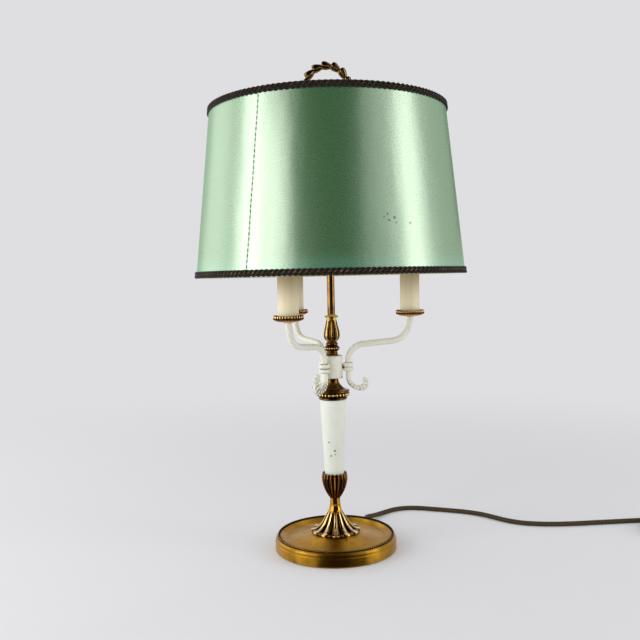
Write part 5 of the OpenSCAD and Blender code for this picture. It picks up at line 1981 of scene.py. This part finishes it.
@dataclass(frozen=True)
class Flag:
    """Dark panel that only reflections see.

    Each corner is an angle in degrees from the camera's side of the lamp, clockwise seen from above,
    then its distance from the rod and its height.
    """

    name: str
    corners: tuple[tuple[float, float, float], ...]
    colour: Colour = (0.035, 0.026, 0.018)

    def place(self) -> None:
        """Makes the panel, which nothing but gloss sees."""
        azimuth, reach, z = np.array(self.corners, float).T
        a = np.radians(azimuth)
        mesh = bpy.data.meshes.new(self.name)
        corners = np.stack([reach * np.sin(a), -reach * np.cos(a), z], 1)
        mesh.from_pydata(corners * MM, [], [[0, 1, 2, 3]])
        s = Shading(self.name)
        s.set(Base_Color=self.colour, Roughness=1.0, Specular_IOR_Level=0.0)
        mesh.materials.append(s.material)
        panel = shown(self.name, mesh)
        panel.visible_camera = False
        panel.visible_diffuse = False
        panel.visible_shadow = False
        panel.visible_transmission = False


def standing_flag(name: str, bottom: Span, top: Span, low: float, high: float) -> Flag:
    """Flag 1.9 m away, from the angles of its bottom and top corners and its lowest and highest point."""
    spots = ((bottom[0], low), (bottom[1], low), (top[1], high), (top[0], high))
    return Flag(name, tuple((azimuth, 1900.0, z) for azimuth, z in spots))


@dataclass(frozen=True)
class Studio:
    """Pale floor and surround, side softboxes, and flags, the dark panels that only reflections see."""

    pale: float = 0.76
    fill: float = 0.64
    tint: Colour = (0.97, 0.968, 1.0)
    floor_colour: Colour = (0.86, 0.86, 0.875)
    floor_radius: float = 6000.0
    fade_from: float = 250.0
    fade_to: float = 1500.0
    flags: tuple[Flag, ...] = (
        standing_flag("flag_0", (-24, 28), (-62, 36), 560, 2600),
        standing_flag("flag_1", (144, 152), (142, 154), 560, 2600),
        standing_flag("low_flag_0", (-54, 0), (-54, 0), 5, 560),
        standing_flag("low_flag_1", (0, 56), (0, 56), 5, 560),
        Flag("floor_flag", ((-50, 90, 1.5), (46, 90, 1.5), (46, 1500, 1.5), (-50, 1500, 1.5))),
        Flag("high_flag", ((45, 1300, 1800), (135, 1300, 1800), (225, 1300, 1800), (315, 1300, 1800))),
    )
    boxes: tuple[Softbox, ...] = (
        Softbox("left_softbox", -67, 660, 1500, 2.9),
        Softbox("left_front_softbox", -43, 420, 1300, 2.3),
        Softbox("right_softbox", 72, 620, 1500, 2.4),
        Softbox("left_back_softbox", -114, 1000, 1300, 1.0),
    )

    def build(self) -> None:
        """Sets the view, the surround, the floor, the flags and the lights."""
        bpy.context.scene.view_settings.view_transform = "Standard"
        self.surround()
        self.floor()
        for part in (*self.flags, *self.boxes):
            part.place()

    def surround(self) -> None:
        """World that is pale to the camera, gloss and glass, and gives a softer fill otherwise."""
        world = bpy.data.worlds.new("surround")
        world.use_nodes = True
        nodes, links = world.node_tree.nodes, world.node_tree.links
        ground = nodes["Background"]
        path = nodes.new("ShaderNodeLightPath")
        seen = path.outputs["Is Camera Ray"]
        for ray in ("Is Glossy Ray", "Is Transmission Ray"):
            either = nodes.new("ShaderNodeMath")
            either.operation = "MAXIMUM"
            links.new(seen, either.inputs[0])
            links.new(path.outputs[ray], either.inputs[1])
            seen = either.outputs[0]
        level = nodes.new("ShaderNodeMapRange")
        level.inputs["To Min"].default_value = self.fill
        level.inputs["To Max"].default_value = self.pale
        links.new(seen, level.inputs["Value"])
        links.new(level.outputs[0], ground.inputs["Strength"])
        ground.inputs["Color"].default_value = (*self.tint, 1.0)
        bpy.context.scene.world = world

    def floor(self) -> None:
        """Round floor that takes the lamp's shadow and fades into the surround."""
        rings = self.floor_radius * np.array([1.0, 0.5, 0.2, 0.02, 0.0])
        mesh = mesh_of("floor", turned(np.stack([rings, 0 * rings], 1), 96), 180)
        s = Shading("floor")
        where = s.place()
        far = s.node("ShaderNodeVectorMath", {0: where}, operation="LENGTH").outputs["Value"]
        share = s.ranged(far, self.fade_from * MM, self.fade_to * MM)
        s.set(Base_Color=self.floor_colour, Roughness=0.9, Specular_IOR_Level=0.2)
        glow = s.node("ShaderNodeEmission", {"Color": self.tint, "Strength": self.pale})
        blend = s.node("ShaderNodeMixShader", {0: share, 1: s.surface.outputs[0], 2: glow.outputs[0]})
        s.node("ShaderNodeOutputMaterial", {"Surface": blend.outputs[0]}, is_active_output=True)
        mesh.materials.append(s.material)
        shown("floor", mesh)


def note_size() -> None:
    """Updates the view layer.
    """
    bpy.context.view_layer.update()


def main() -> None:
    """Builds the camera, the cord, the lamp and the studio."""
    logging.basicConfig(level=logging.INFO, format="%(message)s")
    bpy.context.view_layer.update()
    StudioCamera().place()
    MainsCord().build()
    Base().build()
    Stem().build()
    Collar().build()
    arms = Arms()
    arms.build()
    Candles(arms.top_z()).build()
    Rod().build()
    DrumShade().build()
    Studio().build()
    note_size()


if __name__ == "__main__":
    main()
